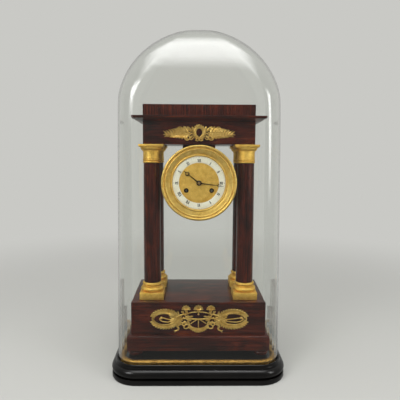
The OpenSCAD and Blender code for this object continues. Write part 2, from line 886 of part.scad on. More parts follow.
module chapter_ring() {
  color("#efe9da")
    turned(0, 0, dial_front_y,
      [[chapter_inner_r, 0], [chapter_r, 0], [chapter_r, chapter_t - 0.7],
        [chapter_r - 2, chapter_t - 0.2], [(chapter_r + chapter_inner_r) / 2, chapter_t],
        [chapter_inner_r + 2, chapter_t - 0.2], [chapter_inner_r, chapter_t - 0.7]]);
}

// Hands, with a hollow moon before the tip
face_y = dial_front_y - chapter_t;
hour_hand_y = face_y - 1.6;
minute_hand_y = hour_hand_y - hand_t - 1.2;
collet_y = minute_hand_y - hand_t;
collet_t = 1.4;
arbor_front_y = collet_y - collet_t - 0.8;

module moon_hand(angle, l, moon, moon_r, hub_r, bore_r, foot_w) {
  rotate(-angle)
    difference() {
      union() {
        circle(hub_r);
        polygon([[-foot_w / 2, hub_r * 0.8], [foot_w / 2, hub_r * 0.8], [0.55, moon - moon_r * 0.7],
          [-0.55, moon - moon_r * 0.7]]);
        translate([0, moon])
          circle(moon_r, $fn = 32);
        polygon([[-0.9, moon + moon_r * 0.8], [0.9, moon + moon_r * 0.8], [0.2, l], [-0.2, l]]);
      }
      circle(bore_r);
      translate([0, moon + moon_r * 0.15])
        circle(moon_r * 0.62, $fn = 32);
    }
}

// Gap all round between a hand or collet and the pipe or arbor that it sits on
push_gap = 0.02;

module hour_hand() {
  color(blued)
    facing(0, 0, hour_hand_y, hand_t)
      moon_hand(hour_angle, hour_hand_l, hour_hand_l * 0.74, 4.1, 5, hour_pipe_r + push_gap, 2.6);
}

module minute_hand() {
  color(blued)
    facing(0, 0, minute_hand_y, hand_t)
      moon_hand(minute_angle, minute_hand_l, minute_hand_l * 0.79, 2.6, 4.6, cannon_pipe_r + push_gap, 2);
}

module hand_collet() {
  color(brass)
    turned(0, 0, collet_y,
      [[centre_arbor_r + push_gap, 0], [2.6, 0], [2.4, 0.8], [1.8, collet_t],
        [centre_arbor_r + push_gap, collet_t]]);
}

hand_pin_r = 0.45;

module hand_pin() {
  color(steel)
    translate([0, collet_y - collet_t - hand_pin_r, dial_z])
      rotate([0, 90 - minute_angle, 0])
        cylinder(h = 6, r = hand_pin_r - 0.02, center = true);
}

// Movement plates
verge_up = 34;
hammer_x = -34.5;
hammer_up = 20;

module pivot_hole(x, up, r, y_back) {
  facing(x, up, y_back + 1, plate_t + 2)
    circle(r);
}

pillar_r = 2.6;
pillar_places = [for (t = [40, 140, 252, 288]) [(plate_r - 5) * cos(t), (plate_r - 5) * sin(t)]];
pivot_r = 0.8;

// The front plate also carries the stud that the minute wheel turns on
stud_r = 1;
stud_l = 5;

module front_plate() {
  color(brass) {
    difference() {
      facing(0, 0, train_y, plate_t)
        circle(plate_r, $fn = 96);
      pivot_hole(0, 0, centre_arbor_r + shaft_gap, train_y);
      pivot_hole(intermediate_x, intermediate_up, pivot_r + shaft_gap, train_y);
      pivot_hole(0, verge_up, pivot_r + shaft_gap, train_y);
      for (x = [-1, 1])
        pivot_hole(x * winding_x, -winding_drop, winding_arbor_r + shaft_gap, train_y);
    }
    facing(0, motion_distance, train_y, plate_t + stud_l)
      circle(stud_r);
  }
}

module back_plate() {
  color(brass)
    difference() {
      facing(0, 0, back_plate_rear_y, plate_t)
        circle(plate_r, $fn = 96);
      pivot_hole(0, 0, pivot_r + shaft_gap, back_plate_rear_y);
      pivot_hole(intermediate_x, intermediate_up, pivot_r + shaft_gap, back_plate_rear_y);
      pivot_hole(0, verge_up, 3, back_plate_rear_y);
      pivot_hole(hammer_x, hammer_up, pivot_r + shaft_gap, back_plate_rear_y);
      for (x = [-1, 1])
        pivot_hole(x * winding_x, -winding_drop, pivot_r + 0.8 + shaft_gap, back_plate_rear_y);
    }
}

pillar_collar = 0.8;
pillar_waist = 0.6;

module pillars() {
  color(brass)
    for (p = pillar_places)
      turned(p[0], p[1], back_plate_y,
        [[0, 0], [pillar_r + pillar_collar, 0], [pillar_r + pillar_collar, 1.5],
          [pillar_r - pillar_waist, 3], [pillar_r, plate_gap / 2], [pillar_r - pillar_waist, plate_gap - 3],
          [pillar_r + pillar_collar, plate_gap - 1.5], [pillar_r + pillar_collar, plate_gap],
          [0, plate_gap]]);
}

// Barrels, their winding arbors, ratchets and clicks
barrel_front_y = train_y + 4.5;
barrel_back_y = back_plate_y - 7;
ratchet_t = 1.2;
ratchet_r = 8;
ratchet_teeth = 20;
barrel_bore = winding_arbor_r + shaft_gap;
cannon_angle = 0;
intermediate_pinion_angle = 0;

module barrel(x, teeth_angle) {
  facing(x, -winding_drop, barrel_back_y - 1.4, barrel_back_y - 1.4 - barrel_front_y)
    difference() {
      circle(barrel_r);
      circle(barrel_bore);
    }
  facing(x, -winding_drop, barrel_back_y, 1.4)
    difference() {
      gear(barrel_teeth, barrel_module, teeth_angle);
      circle(barrel_bore);
    }
}

module going_barrel() {
  color(brass)
    barrel(winding_x, meshed(intermediate_pinion_angle, barrel_teeth, barrel_to_intermediate + 180,
      intermediate_pinion_teeth));
}

module strike_barrel() {
  color(brass)
    barrel(-winding_x, 0);
}

function ratchet_points() =
  [for (i = [0 : ratchet_teeth - 1], p = [[0, ratchet_r - 1.3], [0.02, ratchet_r]])
    let (t = (i + p[0]) * 360 / ratchet_teeth) [p[1] * cos(t), p[1] * sin(t)]];

winding_square = 3.4;
winding_front_y = face_y - 0.4;
ratchet_y = front_plate_y - move_gap;

module winding_arbor(x) {
  color(steel)
    difference() {
      union() {
        facing(x, -winding_drop, back_plate_y - move_gap, back_plate_y - move_gap - winding_front_y - 6)
          circle(winding_arbor_r);
        facing(x, -winding_drop, back_plate_rear_y, plate_t + 2 * move_gap)
          circle(pivot_r + 0.8);
        facing(x, -winding_drop, winding_front_y + 6, 6)
          square(winding_square, center = true);
        facing(x, -winding_drop, ratchet_y, ratchet_t)
          polygon(ratchet_points());
      }
      facing(x, -winding_drop, winding_front_y + 0.4, 1)
        circle(0.5, $fn = 16);
    }
}

module going_winding_arbor() {
  winding_arbor(winding_x);
}

module strike_winding_arbor() {
  winding_arbor(-winding_x);
}

// A click stands just clear of each ratchet wheel, on its screw
module clicks() {
  color(steel)
    for (x = [-1, 1])
      facing(x * winding_x, -winding_drop, front_plate_y, 1.6) {
        translate([0, -ratchet_r - 3.4])
          circle(2.6);
        translate([0, -ratchet_r])
          polygon([[-2.4, -4], [1, -5.4], [7, -1.2], [4.6, 0.6]]);
      }
}

// Going train between the barrel and the centre
intermediate_wheel_y = back_plate_y - 3;
intermediate_wheel_t = 1.2;
intermediate_angle = 0;
centre_pinion_angle = meshed(
  intermediate_angle, centre_pinion_teeth, to_intermediate + 180, intermediate_teeth);

// Five round openings that leave a wheel with its spokes
crossing_place = 11;
crossing_r = 4.2;

module crossings() {
  for (i = [0 : 4])
    rotate(i * 72)
      translate([crossing_place, 0])
        circle(crossing_r);
}

module intermediate_wheel() {
  color(brass) {
    facing(intermediate_x, intermediate_up, back_plate_rear_y, plate_gap + 2 * plate_t)
      circle(pivot_r);
    facing(intermediate_x, intermediate_up, intermediate_wheel_y, intermediate_wheel_t)
      difference() {
        gear(intermediate_teeth, intermediate_module, intermediate_angle);
        crossings();
      }
    facing(intermediate_x, intermediate_up, intermediate_wheel_y - intermediate_wheel_t, 9)
      gear(intermediate_pinion_teeth, barrel_module, intermediate_pinion_angle);
  }
}

centre_teeth = 72;
centre_wheel_y = train_y + 2.6;
cannon_y = front_plate_y - move_gap;
cannon_t = 1.6;

module centre_wheel() {
  color(brass) {
    // Arbor, from its rear pivot to the hands
    facing(0, 0, back_plate_rear_y, plate_t + move_gap)
      circle(pivot_r);
    facing(0, 0, back_plate_y - move_gap, back_plate_y - move_gap - cannon_y)
      circle(centre_arbor_r);
    difference() {
      facing(0, 0, cannon_y, cannon_y - arbor_front_y)
        circle(centre_arbor_r);
      translate([0, collet_y - collet_t - hand_pin_r, dial_z])
        rotate([0, 90 - minute_angle, 0])
          cylinder(h = 8, r = hand_pin_r, center = true);
    }
    // Wheel and pinion
    facing(0, 0, centre_wheel_y, 1.2)
      difference() {
        gear(centre_teeth, intermediate_module, 0);
        crossings();
      }
    facing(0, 0, intermediate_wheel_y + 1.5, 5)
      gear(centre_pinion_teeth, intermediate_module, centre_pinion_angle);
    // Cannon pinion and its pipe, which carries the minute hand
    facing(0, 0, cannon_y, cannon_t)
      gear(cannon_teeth, cannon_module, cannon_angle);
    facing(0, 0, cannon_y - cannon_t, cannon_y - cannon_t - collet_y)
      circle(cannon_pipe_r);
  }
}

// Motion work under the dial
minute_wheel_y = cannon_y - 0.4;
minute_wheel_t = 1;
minute_wheel_angle = meshed(cannon_angle, minute_wheel_teeth, 90, cannon_teeth);
minute_pinion_angle = 90;
hour_wheel_y = minute_wheel_y - minute_wheel_t - 0.5;
hour_wheel_t = 1;
hour_wheel_angle = meshed(minute_pinion_angle, hour_wheel_teeth, -90, minute_pinion_teeth);

module minute_wheel() {
  color(brass)
    difference() {
      union() {
        facing(0, motion_distance, minute_wheel_y, minute_wheel_t)
          gear(minute_wheel_teeth, cannon_module, minute_wheel_angle);
        facing(0, motion_distance, minute_wheel_y - minute_wheel_t, 2.2)
          gear(minute_pinion_teeth, hour_module, minute_pinion_angle);
      }
      facing(0, motion_distance, front_plate_y, motion_depth)
        circle(stud_r + shaft_gap);
    }
}

module hour_wheel() {
  color(brass)
    difference() {
      union() {
        facing(0, 0, hour_wheel_y, hour_wheel_t)
          gear(hour_wheel_teeth, hour_module, hour_wheel_angle);
        facing(0, 0, hour_wheel_y - hour_wheel_t, hour_wheel_y - hour_wheel_t - (hour_hand_y - hand_t))
          circle(hour_pipe_r);
      }
      facing(0, 0, front_plate_y, front_plate_y - hour_hand_y + hand_t + 2)
        circle(cannon_pipe_r + shaft_gap);
    }
}

// Verge with its pallets inside and its crutch outside the back plate
crutch_y = back_plate_rear_y + 4;
cock_y = crutch_y + 4;
crutch_l = 32;

module verge() {
  color(steel) {
    facing(0, verge_up, cock_y + 1.6, cock_y + 1.6 - front_plate_y)
      circle(pivot_r);
    facing(0, verge_up, back_plate_y - 12, 3)
      difference() {
        union() {
          polygon([[-2, 3], [2, 3], [10, -3], [11, -8], [8.8, -7], [7.4, -2.6], [0, -1.6], [-7.4, -2.6],
            [-8.8, -7], [-11, -8], [-10, -3]]);
          circle(2.6);
        }
        circle(pivot_r - 0.2);
      }
    facing(0, verge_up, crutch_y + 1, 1.6)
      difference() {
        union() {
          circle(2.4);
          polygon([[-1.1, 0], [1.1, 0], [0.8, -crutch_l], [-0.8, -crutch_l]]);
          translate([0, -crutch_l])
            circle(3.2, $fn = 32);
        }
        translate([0, -crutch_l])
          circle(1.8, $fn = 32);
      }
  }
}

module suspension_cock() {
  color(brass) {
    difference() {
      facing(0, verge_up, cock_y + 1.6, 1.6) {
        polygon([[-13, 6], [-9, 9], [9, 9], [13, 6], [11, 2], [3.6, -3.4], [-3.6, -3.4], [-11, 2]]);
      }
      facing(0, verge_up, cock_y + 3, 4)
        circle(pivot_r + shaft_gap);
    }
    for (x = [-1, 1])
      facing(x * 9.5, verge_up + 5.4, cock_y, cock_y - back_plate_rear_y)
        circle(2);
  }
}

// Bell, its stand and the hammer
bell_wall = 1.6;
bell_depth = 13;
bell_front_y = cock_y + 3;
bell_drop = 6;

bell_outside = [for (p = arc(0, 0, 1, 90, 8, 9)) [bell_r * p[0] ^ 0.8, bell_depth * (1 - p[1])]];
bell_inside = [for (p = arc(0, 0, 1, 8, 90, 9))
  [(bell_r - bell_wall) * p[0] ^ 0.8, bell_wall + (bell_depth - bell_wall) * (1 - p[1])]];
bell_post_r = 2.6;

module bell() {
  color("#a58a55") {
    turned(0, -bell_drop, bell_front_y + bell_depth,
      concat(bell_outside, [[bell_r, bell_depth], [bell_r - bell_wall, bell_depth]], bell_inside));
    facing(0, -bell_drop, bell_front_y + bell_depth, bell_front_y + bell_depth - back_plate_rear_y)
      circle(bell_post_r);
  }
}

module hammer() {
  color(steel) {
    facing(hammer_x, hammer_up, bell_front_y + 4, bell_front_y + 4 - back_plate_y + 6)
      circle(pivot_r);
    facing(hammer_x, hammer_up, bell_front_y + 4, 1.6) {
      circle(2.2);
      polygon([[-1, 0], [1, 0], [0.4, -28], [-1.6, -28]]);
      translate([-0.6, -28])
        circle(3.4);
    }
  }
}

socle();
platform();
platform_fillet();
glass_dome();
bun_feet();
lower_plinth();
plinth_front();
plinth_back();
plinth_sides();
plinth_top();
column_base(-1, -1);  // column_base_fl
column_base(1, -1);  // column_base_fr
column_base(-1, 1);  // column_base_rl
column_base(1, 1);  // column_base_rr
column(-1, -1);  // column_fl
column(1, -1);  // column_fr
column(-1, 1);  // column_rl
column(1, 1);  // column_rr
capital(-1, -1);  // capital_fl
capital(1, -1);  // capital_fr
capital(-1, 1);  // capital_rl
capital(1, 1);  // capital_rr
soffit();
frieze_front();
frieze_back();
frieze_ends();
cornice_cove();
cornice_slab();
attic();
upper_mount();
lower_mount();
drum_case();
drum_saddle();
back_ring();
back_cap();
straps();
strap_screws();
bezel();
dial_plate();
chapter_ring();
hour_hand();
minute_hand();
hand_collet();
hand_pin();
front_plate();
back_plate();
pillars();
going_barrel();
strike_barrel();
going_winding_arbor();
strike_winding_arbor();
clicks();
intermediate_wheel();
centre_wheel();
minute_wheel();
hour_wheel();
verge();
suspension_cock();
bell();
hammer();
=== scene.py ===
"""The looks of a portico clock under its glass dome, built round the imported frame, in metres."""

import math

import bmesh
import bpy
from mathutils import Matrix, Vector


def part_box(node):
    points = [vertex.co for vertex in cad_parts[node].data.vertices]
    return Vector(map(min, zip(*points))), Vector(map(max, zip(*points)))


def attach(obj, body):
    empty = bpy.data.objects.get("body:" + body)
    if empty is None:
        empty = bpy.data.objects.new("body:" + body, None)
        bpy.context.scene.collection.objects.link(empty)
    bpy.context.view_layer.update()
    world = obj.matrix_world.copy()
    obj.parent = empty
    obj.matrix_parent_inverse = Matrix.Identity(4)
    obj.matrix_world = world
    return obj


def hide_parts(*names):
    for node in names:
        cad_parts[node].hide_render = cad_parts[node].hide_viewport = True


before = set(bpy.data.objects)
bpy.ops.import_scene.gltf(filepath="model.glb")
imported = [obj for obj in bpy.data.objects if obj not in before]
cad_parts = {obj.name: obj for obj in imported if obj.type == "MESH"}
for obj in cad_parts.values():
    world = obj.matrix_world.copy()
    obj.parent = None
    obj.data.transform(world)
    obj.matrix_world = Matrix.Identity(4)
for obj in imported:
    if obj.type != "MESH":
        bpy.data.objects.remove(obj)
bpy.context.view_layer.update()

MM = 0.001
CASE = "stand_and_case"
CORNERS = ("fl", "fr", "rl", "rr")
CORNER_STEPS = 14


# Tools

def use(*pieces):
    """Selects only these pieces, the first one active."""
    bpy.ops.object.select_all(action="DESELECT")
    for piece in pieces:
        piece.select_set(True)
    bpy.context.view_layer.objects.active = pieces[0]


class editing:
    """Edit mode on one piece, with nothing selected at the start, or the whole of it."""

    def __init__(self, piece, kind="VERT", whole=False):
        self.piece, self.kind, self.action = piece, kind, "SELECT" if whole else "DESELECT"

    def __enter__(self):
        use(self.piece)
        bpy.ops.object.mode_set(mode="EDIT")
        bpy.ops.mesh.select_mode(type=self.kind)
        bpy.ops.mesh.select_all(action=self.action)

    def __exit__(self, *_):
        bpy.ops.object.mode_set(mode="OBJECT")


def pick(piece, test):
    """In edit mode, selects the vertices whose places pass a test."""
    bpy.ops.mesh.select_all(action="DESELECT")
    mesh = bmesh.from_edit_mesh(piece.data)
    for vertex in mesh.verts:
        if test(vertex.co):
            vertex.select_set(True)
    mesh.select_flush(True)
    bmesh.update_edit_mesh(piece.data)


def extrude(step):
    """In edit mode, draws what is selected out by a step."""
    bpy.ops.mesh.extrude_region_move(TRANSFORM_OT_translate={"value": step})


def draw_in(shares, centre=(0, 0, 0)):
    """In edit mode, scales what is selected towards a point."""
    bpy.ops.transform.resize(value=shares, center_override=centre)


def settle():
    """Puts the place, turn and scale of what is selected into its mesh."""
    bpy.ops.object.transform_apply(location=True, rotation=True, scale=True)


def start(name, primitive, scale=(1, 1, 1), **settings):
    """Adds a primitive at its size and place, and names it."""
    bpy.ops.object.select_all(action="DESELECT")
    primitive(**settings)
    piece = bpy.context.object
    piece.name = name
    piece.scale = scale
    settle()
    return piece


def close_up(piece):
    """Merges doubled vertices, fills open ends and points the faces outwards."""
    with editing(piece, whole=True):
        bpy.ops.mesh.remove_doubles(threshold=0.002 * MM)
        bpy.ops.mesh.fill_holes(sides=0)
        bpy.ops.mesh.normals_make_consistent(inside=False)
    return piece


def modify(piece, kind, **settings):
    """Adds a modifier with its settings and applies it."""
    use(piece)
    bpy.ops.object.modifier_add(type=kind)
    modifier = piece.modifiers[-1]
    for name, value in settings.items():
        setattr(modifier, name, value)
    bpy.ops.object.modifier_apply(modifier=modifier.name)


def join(name, pieces):
    """Makes several pieces one, with its place in its mesh."""
    use(*pieces)
    if len(pieces) > 1:
        bpy.ops.object.join()
    piece = bpy.context.object
    piece.name = name
    settle()
    return piece


def copy_to(piece, name, shift):
    """A copy of a piece with its own mesh, moved by shift."""
    use(piece)
    bpy.ops.object.duplicate()
    twin = bpy.context.object
    twin.name = name
    bpy.ops.transform.translate(value=shift)
    settle()
    return twin


def mirrored(piece, name):
    """A left-hand copy of a right-hand piece."""
    twin = copy_to(piece, name, (0, 0, 0))
    twin.scale.x = -1
    settle()
    return close_up(twin)


def done(piece, material, nodes=(), body=CASE, angle=35):
    """Shades a finished piece, gives it its material, and ties it to the frame."""
    use(piece)
    bpy.ops.object.shade_smooth_by_angle(angle=math.radians(angle))
    piece.data.name = piece.name
    piece.data.materials.clear()
    piece.data.materials.append(material)
    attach(piece, body)
    if nodes:
        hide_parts(*nodes)
    return piece


def size_of(node):
    """The size of a CAD node's box."""
    low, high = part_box(node)
    return high - low


def place_of(node):
    """The middle of a CAD node's box."""
    low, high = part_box(node)
    return (low + high) / 2


def cos(degrees):
    return math.cos(math.radians(degrees))


def sin(degrees):
    return math.sin(math.radians(degrees))


def arc(cx, cy, radius, first, last, steps):
    """Points of a circular arc, in degrees."""
    turns = [first + (last - first) * i / steps for i in range(steps + 1)]
    return [(cx + radius * cos(t), cy + radius * sin(t)) for t in turns]


def oval(u, v, half_w, half_h, height, turns):
    """Points of an oval at one height, for a row of turns in degrees."""
    return [(u + half_w * cos(t), v + half_h * sin(t), height) for t in turns]


def through(points):
    """A smooth path through a few points."""
    steps = 6
    ends = [points[0]] + list(points) + [points[-1]]
    path = []
    for a, b, c, d in zip(ends, ends[1:], ends[2:], ends[3:]):
        for i in range(steps):
            t = i / steps
            path.append(tuple(
                q + 0.5 * t * (r - p + t * (2 * p - 5 * q + 4 * r - s + t * (3 * q - p - 3 * r + s)))
                for p, q, r, s in zip(a, b, c, d)))
    return path + [tuple(points[-1])]


def line(name, points, closed=False):
    """A row of joined points: one corner of a small plane, drawn along by extrusion."""
    near = 0.01 * MM
    piece = start(name, bpy.ops.mesh.primitive_plane_add, size=near, location=points[0])
    with editing(piece, whole=True):
        bpy.ops.mesh.merge(type="CENTER")
        for here, there in zip(points, points[1:]):
            step = Vector(there) - Vector(here)
            bpy.ops.mesh.extrude_vertices_move(TRANSFORM_OT_translate={"value": step})
        if closed:
            first, last = Vector(points[0]), Vector(points[-1])
            pick(piece, lambda p: (p - first).length < near or (p - last).length < near)
            bpy.ops.mesh.edge_face_add()
    return piece


def lathe(name, profile, centre=(0, 0, 0), along="Z", steps=96, closed=False):
    """Turns a profile of (radius, height) in mm about an upright axis, or about the dial's axis,
    where the height runs forwards."""
    up = Vector((0, 0, 1)) if along == "Z" else Vector((0, -1, 0))
    points = [Vector(centre) + Vector((radius * MM, 0, 0)) + up * height * MM for radius, height in profile]
    piece = line(name, points, closed)
    with editing(piece, whole=True):
        bpy.ops.mesh.spin(steps=steps, angle=2 * math.pi, center=centre, axis=up)
    return close_up(piece)


def moulding_round(name, profile, size, radius, z, closed=False):
    """Runs a profile of (out from the edge, height) in mm round a board with rounded corners: it is
    spun round each corner and drawn along each side."""
    x, y = size.x / 2 - radius, size.y / 2 - radius
    piece = line(name, [(size.x / 2 + out * MM, -y, z + up * MM) for out, up in profile], closed)
    with editing(piece, whole=True):
        for cx, cy, dx, dy in ((x, -y, -2 * x, 0), (-x, -y, 0, 2 * y), (-x, y, 2 * x, 0), (x, y, 0, -2 * y)):
            bpy.ops.mesh.spin(steps=CORNER_STEPS, angle=math.pi / 2, center=(cx, cy, z), axis=(0, 0, 1))
            extrude((dx, dy, 0))
    return close_up(piece)


def rounded_board(name, low, high, radius, ease):
    """A flat board with rounded corners and an eased top edge."""
    w, d, h = high - low
    piece = start(name, bpy.ops.mesh.primitive_plane_add, size=1, location=(0, 0, low.z), scale=(w, d, 1))
    with editing(piece, whole=True):
        bpy.ops.mesh.bevel(offset=radius, segments=CORNER_STEPS, affect="VERTICES")
        bpy.ops.mesh.select_all(action="SELECT")
        extrude((0, 0, h - ease))
        extrude((0, 0, ease))
        draw_in(((w - 2 * ease) / w, (d - 2 * ease) / d, 1))
    return close_up(piece)


def moulded_board(name, node, edge, wood):
    """A square-cornered board in the place of a CAD board: its foot is drawn up and in, step by step, to
    (distance in, height) in mm."""
    sides = size_of(node).xy
    inset, foot = edge[0]
    piece = start(name, bpy.ops.mesh.primitive_plane_add, size=1,
                  location=(0, 0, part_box(node)[0].z + foot * MM),
                  scale=(*(side - 2 * inset * MM for side in sides), 1))
    with editing(piece, whole=True):
        for here, there in zip(edge, edge[1:]):
            extrude((0, 0, (there[1] - here[1]) * MM))
            draw_in((*((side - 2 * there[0] * MM) / (side - 2 * here[0] * MM) for side in sides), 1))
    close_up(piece)
    done(piece, wood, [node])


def eased_box(name, low, high, ease):
    """A block with its edges eased, as a board or a plinth."""
    low, high = Vector(low), Vector(high)
    piece = start(name, bpy.ops.mesh.primitive_cube_add, size=1, location=(low + high) / 2, scale=high - low)
    with editing(piece, "EDGE", whole=True):
        bpy.ops.mesh.bevel(offset=ease, segments=3, profile=0.5)
    return piece


def from_node(node, ease=0, name=None, flats=True):
    """A copy of a CAD node, merged, its flat faces made whole, with its sharp edges eased."""
    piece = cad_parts[node].copy()
    piece.data = piece.data.copy()
    piece.parent = None
    for key in [key for key in piece.keys() if key.startswith("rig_")]:
        del piece[key]
    bpy.context.scene.collection.objects.link(piece)
    piece.name = name or node + "_eased"
    use(piece)
    bpy.ops.mesh.customdata_custom_splitnormals_clear()
    with editing(piece, whole=True):
        bpy.ops.mesh.remove_doubles(threshold=0.001 * MM)
        if flats:
            bpy.ops.mesh.dissolve_limited(angle_limit=math.radians(0.5))
    if ease:
        modify(piece, "BEVEL", width=ease, segments=2, limit_method="ANGLE", angle_limit=math.radians(40),
               use_clamp_overlap=True)
    return piece


def wire(name, points, radius, ends=1.0):
    """A round cast strand along points in mm. Its radius falls to ends times as much at both ends."""
    piece = line(name, [Vector(p) * MM for p in points])
    use(piece)
    bpy.ops.object.convert(target="CURVE")
    strand = piece.data
    strand.bevel_depth = radius * MM
    strand.bevel_resolution = 2
    strand.use_fill_caps = True
    row = strand.splines[0].points
    for i, point in enumerate(row):
        from_middle = abs(2 * i / (len(row) - 1) - 1)
        point.radius = 1 - (1 - ends) * from_middle ** 2
    bpy.ops.object.convert(target="MESH")
    piece = bpy.context.object
    piece.name = name
    return piece


# Materials

def colour(code):
    """An sRGB hex value as the linear colour that a shader takes."""
    parts = [int(code[i:i + 2], 16) / 255 for i in (0, 2, 4)]
    return tuple(c / 12.92 if c <= 0.04045 else ((c + 0.055) / 1.055) ** 2.4 for c in parts) + (1,)


def feed(tree, node, inputs):
    """Gives a node's inputs a value each, the output that feeds it, or the node whose first output does."""
    for name, value in inputs.items():
        if isinstance(value, bpy.types.Node):
            value = value.outputs[0]
        if isinstance(value, bpy.types.NodeSocket):
            tree.links.new(value, node.inputs[name])
        else:
            node.inputs[name].default_value = value


def add_node(tree, kind, inputs=None, stops=None, **settings):
    """Adds a node with its settings, its inputs, and a ramp's places with their hex values."""
    node = tree.nodes.new("ShaderNode" + kind)
    for name, value in settings.items():
        setattr(node, name, value)
    feed(tree, node, inputs or {})
    if stops:
        marks = node.color_ramp.elements
        while len(marks) < len(stops):
            marks.new(1)
        for mark, (place, code) in zip(marks, stops):
            mark.position, mark.color = place, colour(code)
    return node


def new_material(name, **plain):
    """A material with a Principled shader that has these plain values on its own sockets."""
    material = bpy.data.materials.new(name)
    material.use_nodes = True
    tree = material.node_tree
    tree.nodes.clear()
    shader = add_node(tree, "BsdfPrincipled", {key.replace("_", " "): value for key, value in plain.items()})
    add_node(tree, "OutputMaterial", {"Surface": shader}, name="surface")
    place = add_node(tree, "TexCoord").outputs["Object"]
    return material, tree, shader, place


def finish(tree, shader, skin, gloss, low, high, relief=None, strength=0, depth=0, side="Normal"):
    """Gives a shader its colour, a roughness from low to high that follows one pattern, and a relief
    so many mm deep that follows another."""
    rough = add_node(tree, "MapRange", {"Value": gloss, "To Min": low, "To Max": high})
    feed(tree, shader, {"Base Color": skin, "Roughness": rough})
    if relief:
        feed(tree, shader, {side: add_node(tree, "Bump", {"Height": relief, "Strength": strength,
                                                          "Distance": depth * MM})})


def grain_scale(along, wide, long):
    """The scale of a pattern that is so wide and so long in mm, along X, Y or Z."""
    scale = [1 / (wide * MM)] * 3
    scale["XYZ".index(along)] = 1 / (long * MM)
    return scale


def mahogany(name, along, flame=38, ribbon_share=0.4):
    """Mahogany veneer, French polished: a deep red-brown with dark flame figure, fine ribbon grain and
    short dark pores along the board, under a thin glossy film that lies in slow waves."""
    material, tree, shader, place = new_material(name, Coat_Weight=0.4, Coat_Roughness=0.06, Coat_IOR=1.45,
                                                 Specular_IOR_Level=0.1)
    figure, ribbon, pore = [
        add_node(tree, "TexNoise", {
            "Vector": add_node(tree, "Mapping", {"Vector": place, "Scale": grain_scale(along, wide, long)}),
            "Scale": 1, "Detail": detail, "Roughness": roughness, "Distortion": distortion})
        for wide, long, detail, roughness, distortion in (
            (flame, flame * 2.4, 4, 0.6, 1.6), (2.2, 70, 2, 0.5, 0.3), (0.7, 9, 1, 0.5, 0))]
    both = add_node(tree, "Mix", {0: ribbon_share, 2: figure, 3: ribbon})
    tone = add_node(tree, "ValToRGB", {"Fac": both}, stops=(
        (0.36, "1A0602"), (0.47, "380F05"), (0.56, "501909"), (0.68, "703013")))
    dots = add_node(tree, "ValToRGB", {"Fac": pore}, stops=((0.34, "8A7A74"), (0.42, "FFFFFF")))
    skin = add_node(tree, "Mix", {0: 0.8, 6: tone, 7: dots}, data_type="RGBA", blend_type="MULTIPLY")
    waves = add_node(tree, "TexNoise", {"Vector": place, "Scale": 1 / (26 * MM), "Detail": 1})
    finish(tree, shader, skin.outputs[2], ribbon, 0.3, 0.42, waves, 0.25, 0.4, "Coat Normal")
    return material


def gilt(name, dull, bright, roughness, grit=0.5, shade_ground_y=None, relief=0):
    """Fire-gilt bronze: a warm yellow metal, matt where it was left as fired and bright where it was
    burnished. On a mount, painted shade turns the hollows next to the ground behind it dark brown."""
    material, tree, shader, place = new_material(name, Metallic=1)
    cloud = add_node(tree, "TexNoise", {"Vector": place, "Scale": 1 / (9 * MM), "Detail": 5,
                                        "Roughness": 0.7})
    tone = add_node(tree, "ValToRGB", {"Fac": cloud}, stops=((0.32, dull), (0.68, bright)))
    if shade_ground_y is not None:
        # Painted shade: faces that lie within the relief depth of the ground are mixed towards dark brown
        # 4A3010.
        depth = add_node(tree, "SeparateXYZ", {"Vector": place}).outputs["Y"]
        low = add_node(tree, "MapRange", {"Value": depth, "From Min": shade_ground_y - relief * MM,
                                          "From Max": shade_ground_y})
        tone = add_node(tree, "Mix", {0: low, 6: tone, 7: colour("4A3010")}, data_type="RGBA").outputs[2]
    grain = add_node(tree, "TexNoise", {"Vector": place, "Scale": 1 / (grit * MM), "Detail": 2})
    finish(tree, shader, tone, grain, roughness - 0.07, roughness + 0.09, grain, 0.35, 0.05)
    return material


def drawn_metal(name, darker, tone, roughness, square_y=None):
    """Brass or steel finished with a fine stone in one direction: thin even scratches and a soft gloss.
    On a winding arbor, painted shade turns the steel behind the square end near black inside its hole."""
    material, tree, shader, place = new_material(name, Metallic=1)
    run = add_node(tree, "Mapping", {"Vector": place, "Scale": grain_scale("Y", 0.35, 12)})
    scratches = add_node(tree, "TexNoise", {"Vector": run, "Scale": 1, "Detail": 2})
    cloud = add_node(tree, "TexNoise", {"Vector": place, "Scale": 1 / (20 * MM), "Detail": 2})
    both = add_node(tree, "Mix", {0: 0.5, 2: scratches, 3: cloud})
    skin = add_node(tree, "ValToRGB", {"Fac": both}, stops=((0.35, darker), (0.6, tone)))
    if square_y is not None:
        depth = add_node(tree, "SeparateXYZ", {"Vector": place}).outputs["Y"]
        # Painted shade: from 2 to 5 mm behind the square end the steel is mixed towards near black 1C1917.
        painted_hole_shade = add_node(tree, "MapRange", {"Value": depth, "From Min": square_y + 2 * MM,
                                            "From Max": square_y + 5 * MM})
        skin = add_node(tree, "Mix", {0: painted_hole_shade, 6: skin, 7: colour("1C1917")}, data_type="RGBA").outputs[2]
    finish(tree, shader, skin, scratches, roughness - 0.06, roughness + 0.1, scratches, 0.2, 0.03)
    return material


def ebonised_wood():
    """Pear wood dyed black and waxed: satin black, with faint long pores and a brown hint where thin."""
    material, tree, shader, place = new_material("ebonised_pear_wood", Coat_Weight=0.5, Coat_Roughness=0.16,
                                                 Specular_IOR_Level=0.15)
    run = add_node(tree, "Mapping", {"Vector": place, "Scale": grain_scale("X", 0.9, 30)})
    pores = add_node(tree, "TexNoise", {"Vector": run, "Scale": 1, "Detail": 2})
    patches = add_node(tree, "TexNoise", {"Vector": place, "Scale": 1 / (45 * MM), "Detail": 3})
    both = add_node(tree, "Mix", {0: 0.4, 2: patches, 3: pores})
    tone = add_node(tree, "ValToRGB", {"Fac": both}, stops=((0.4, "060505"), (0.62, "110E0C")))
    finish(tree, shader, tone, both, 0.26, 0.5, pores, 0.25, 0.06)
    return material


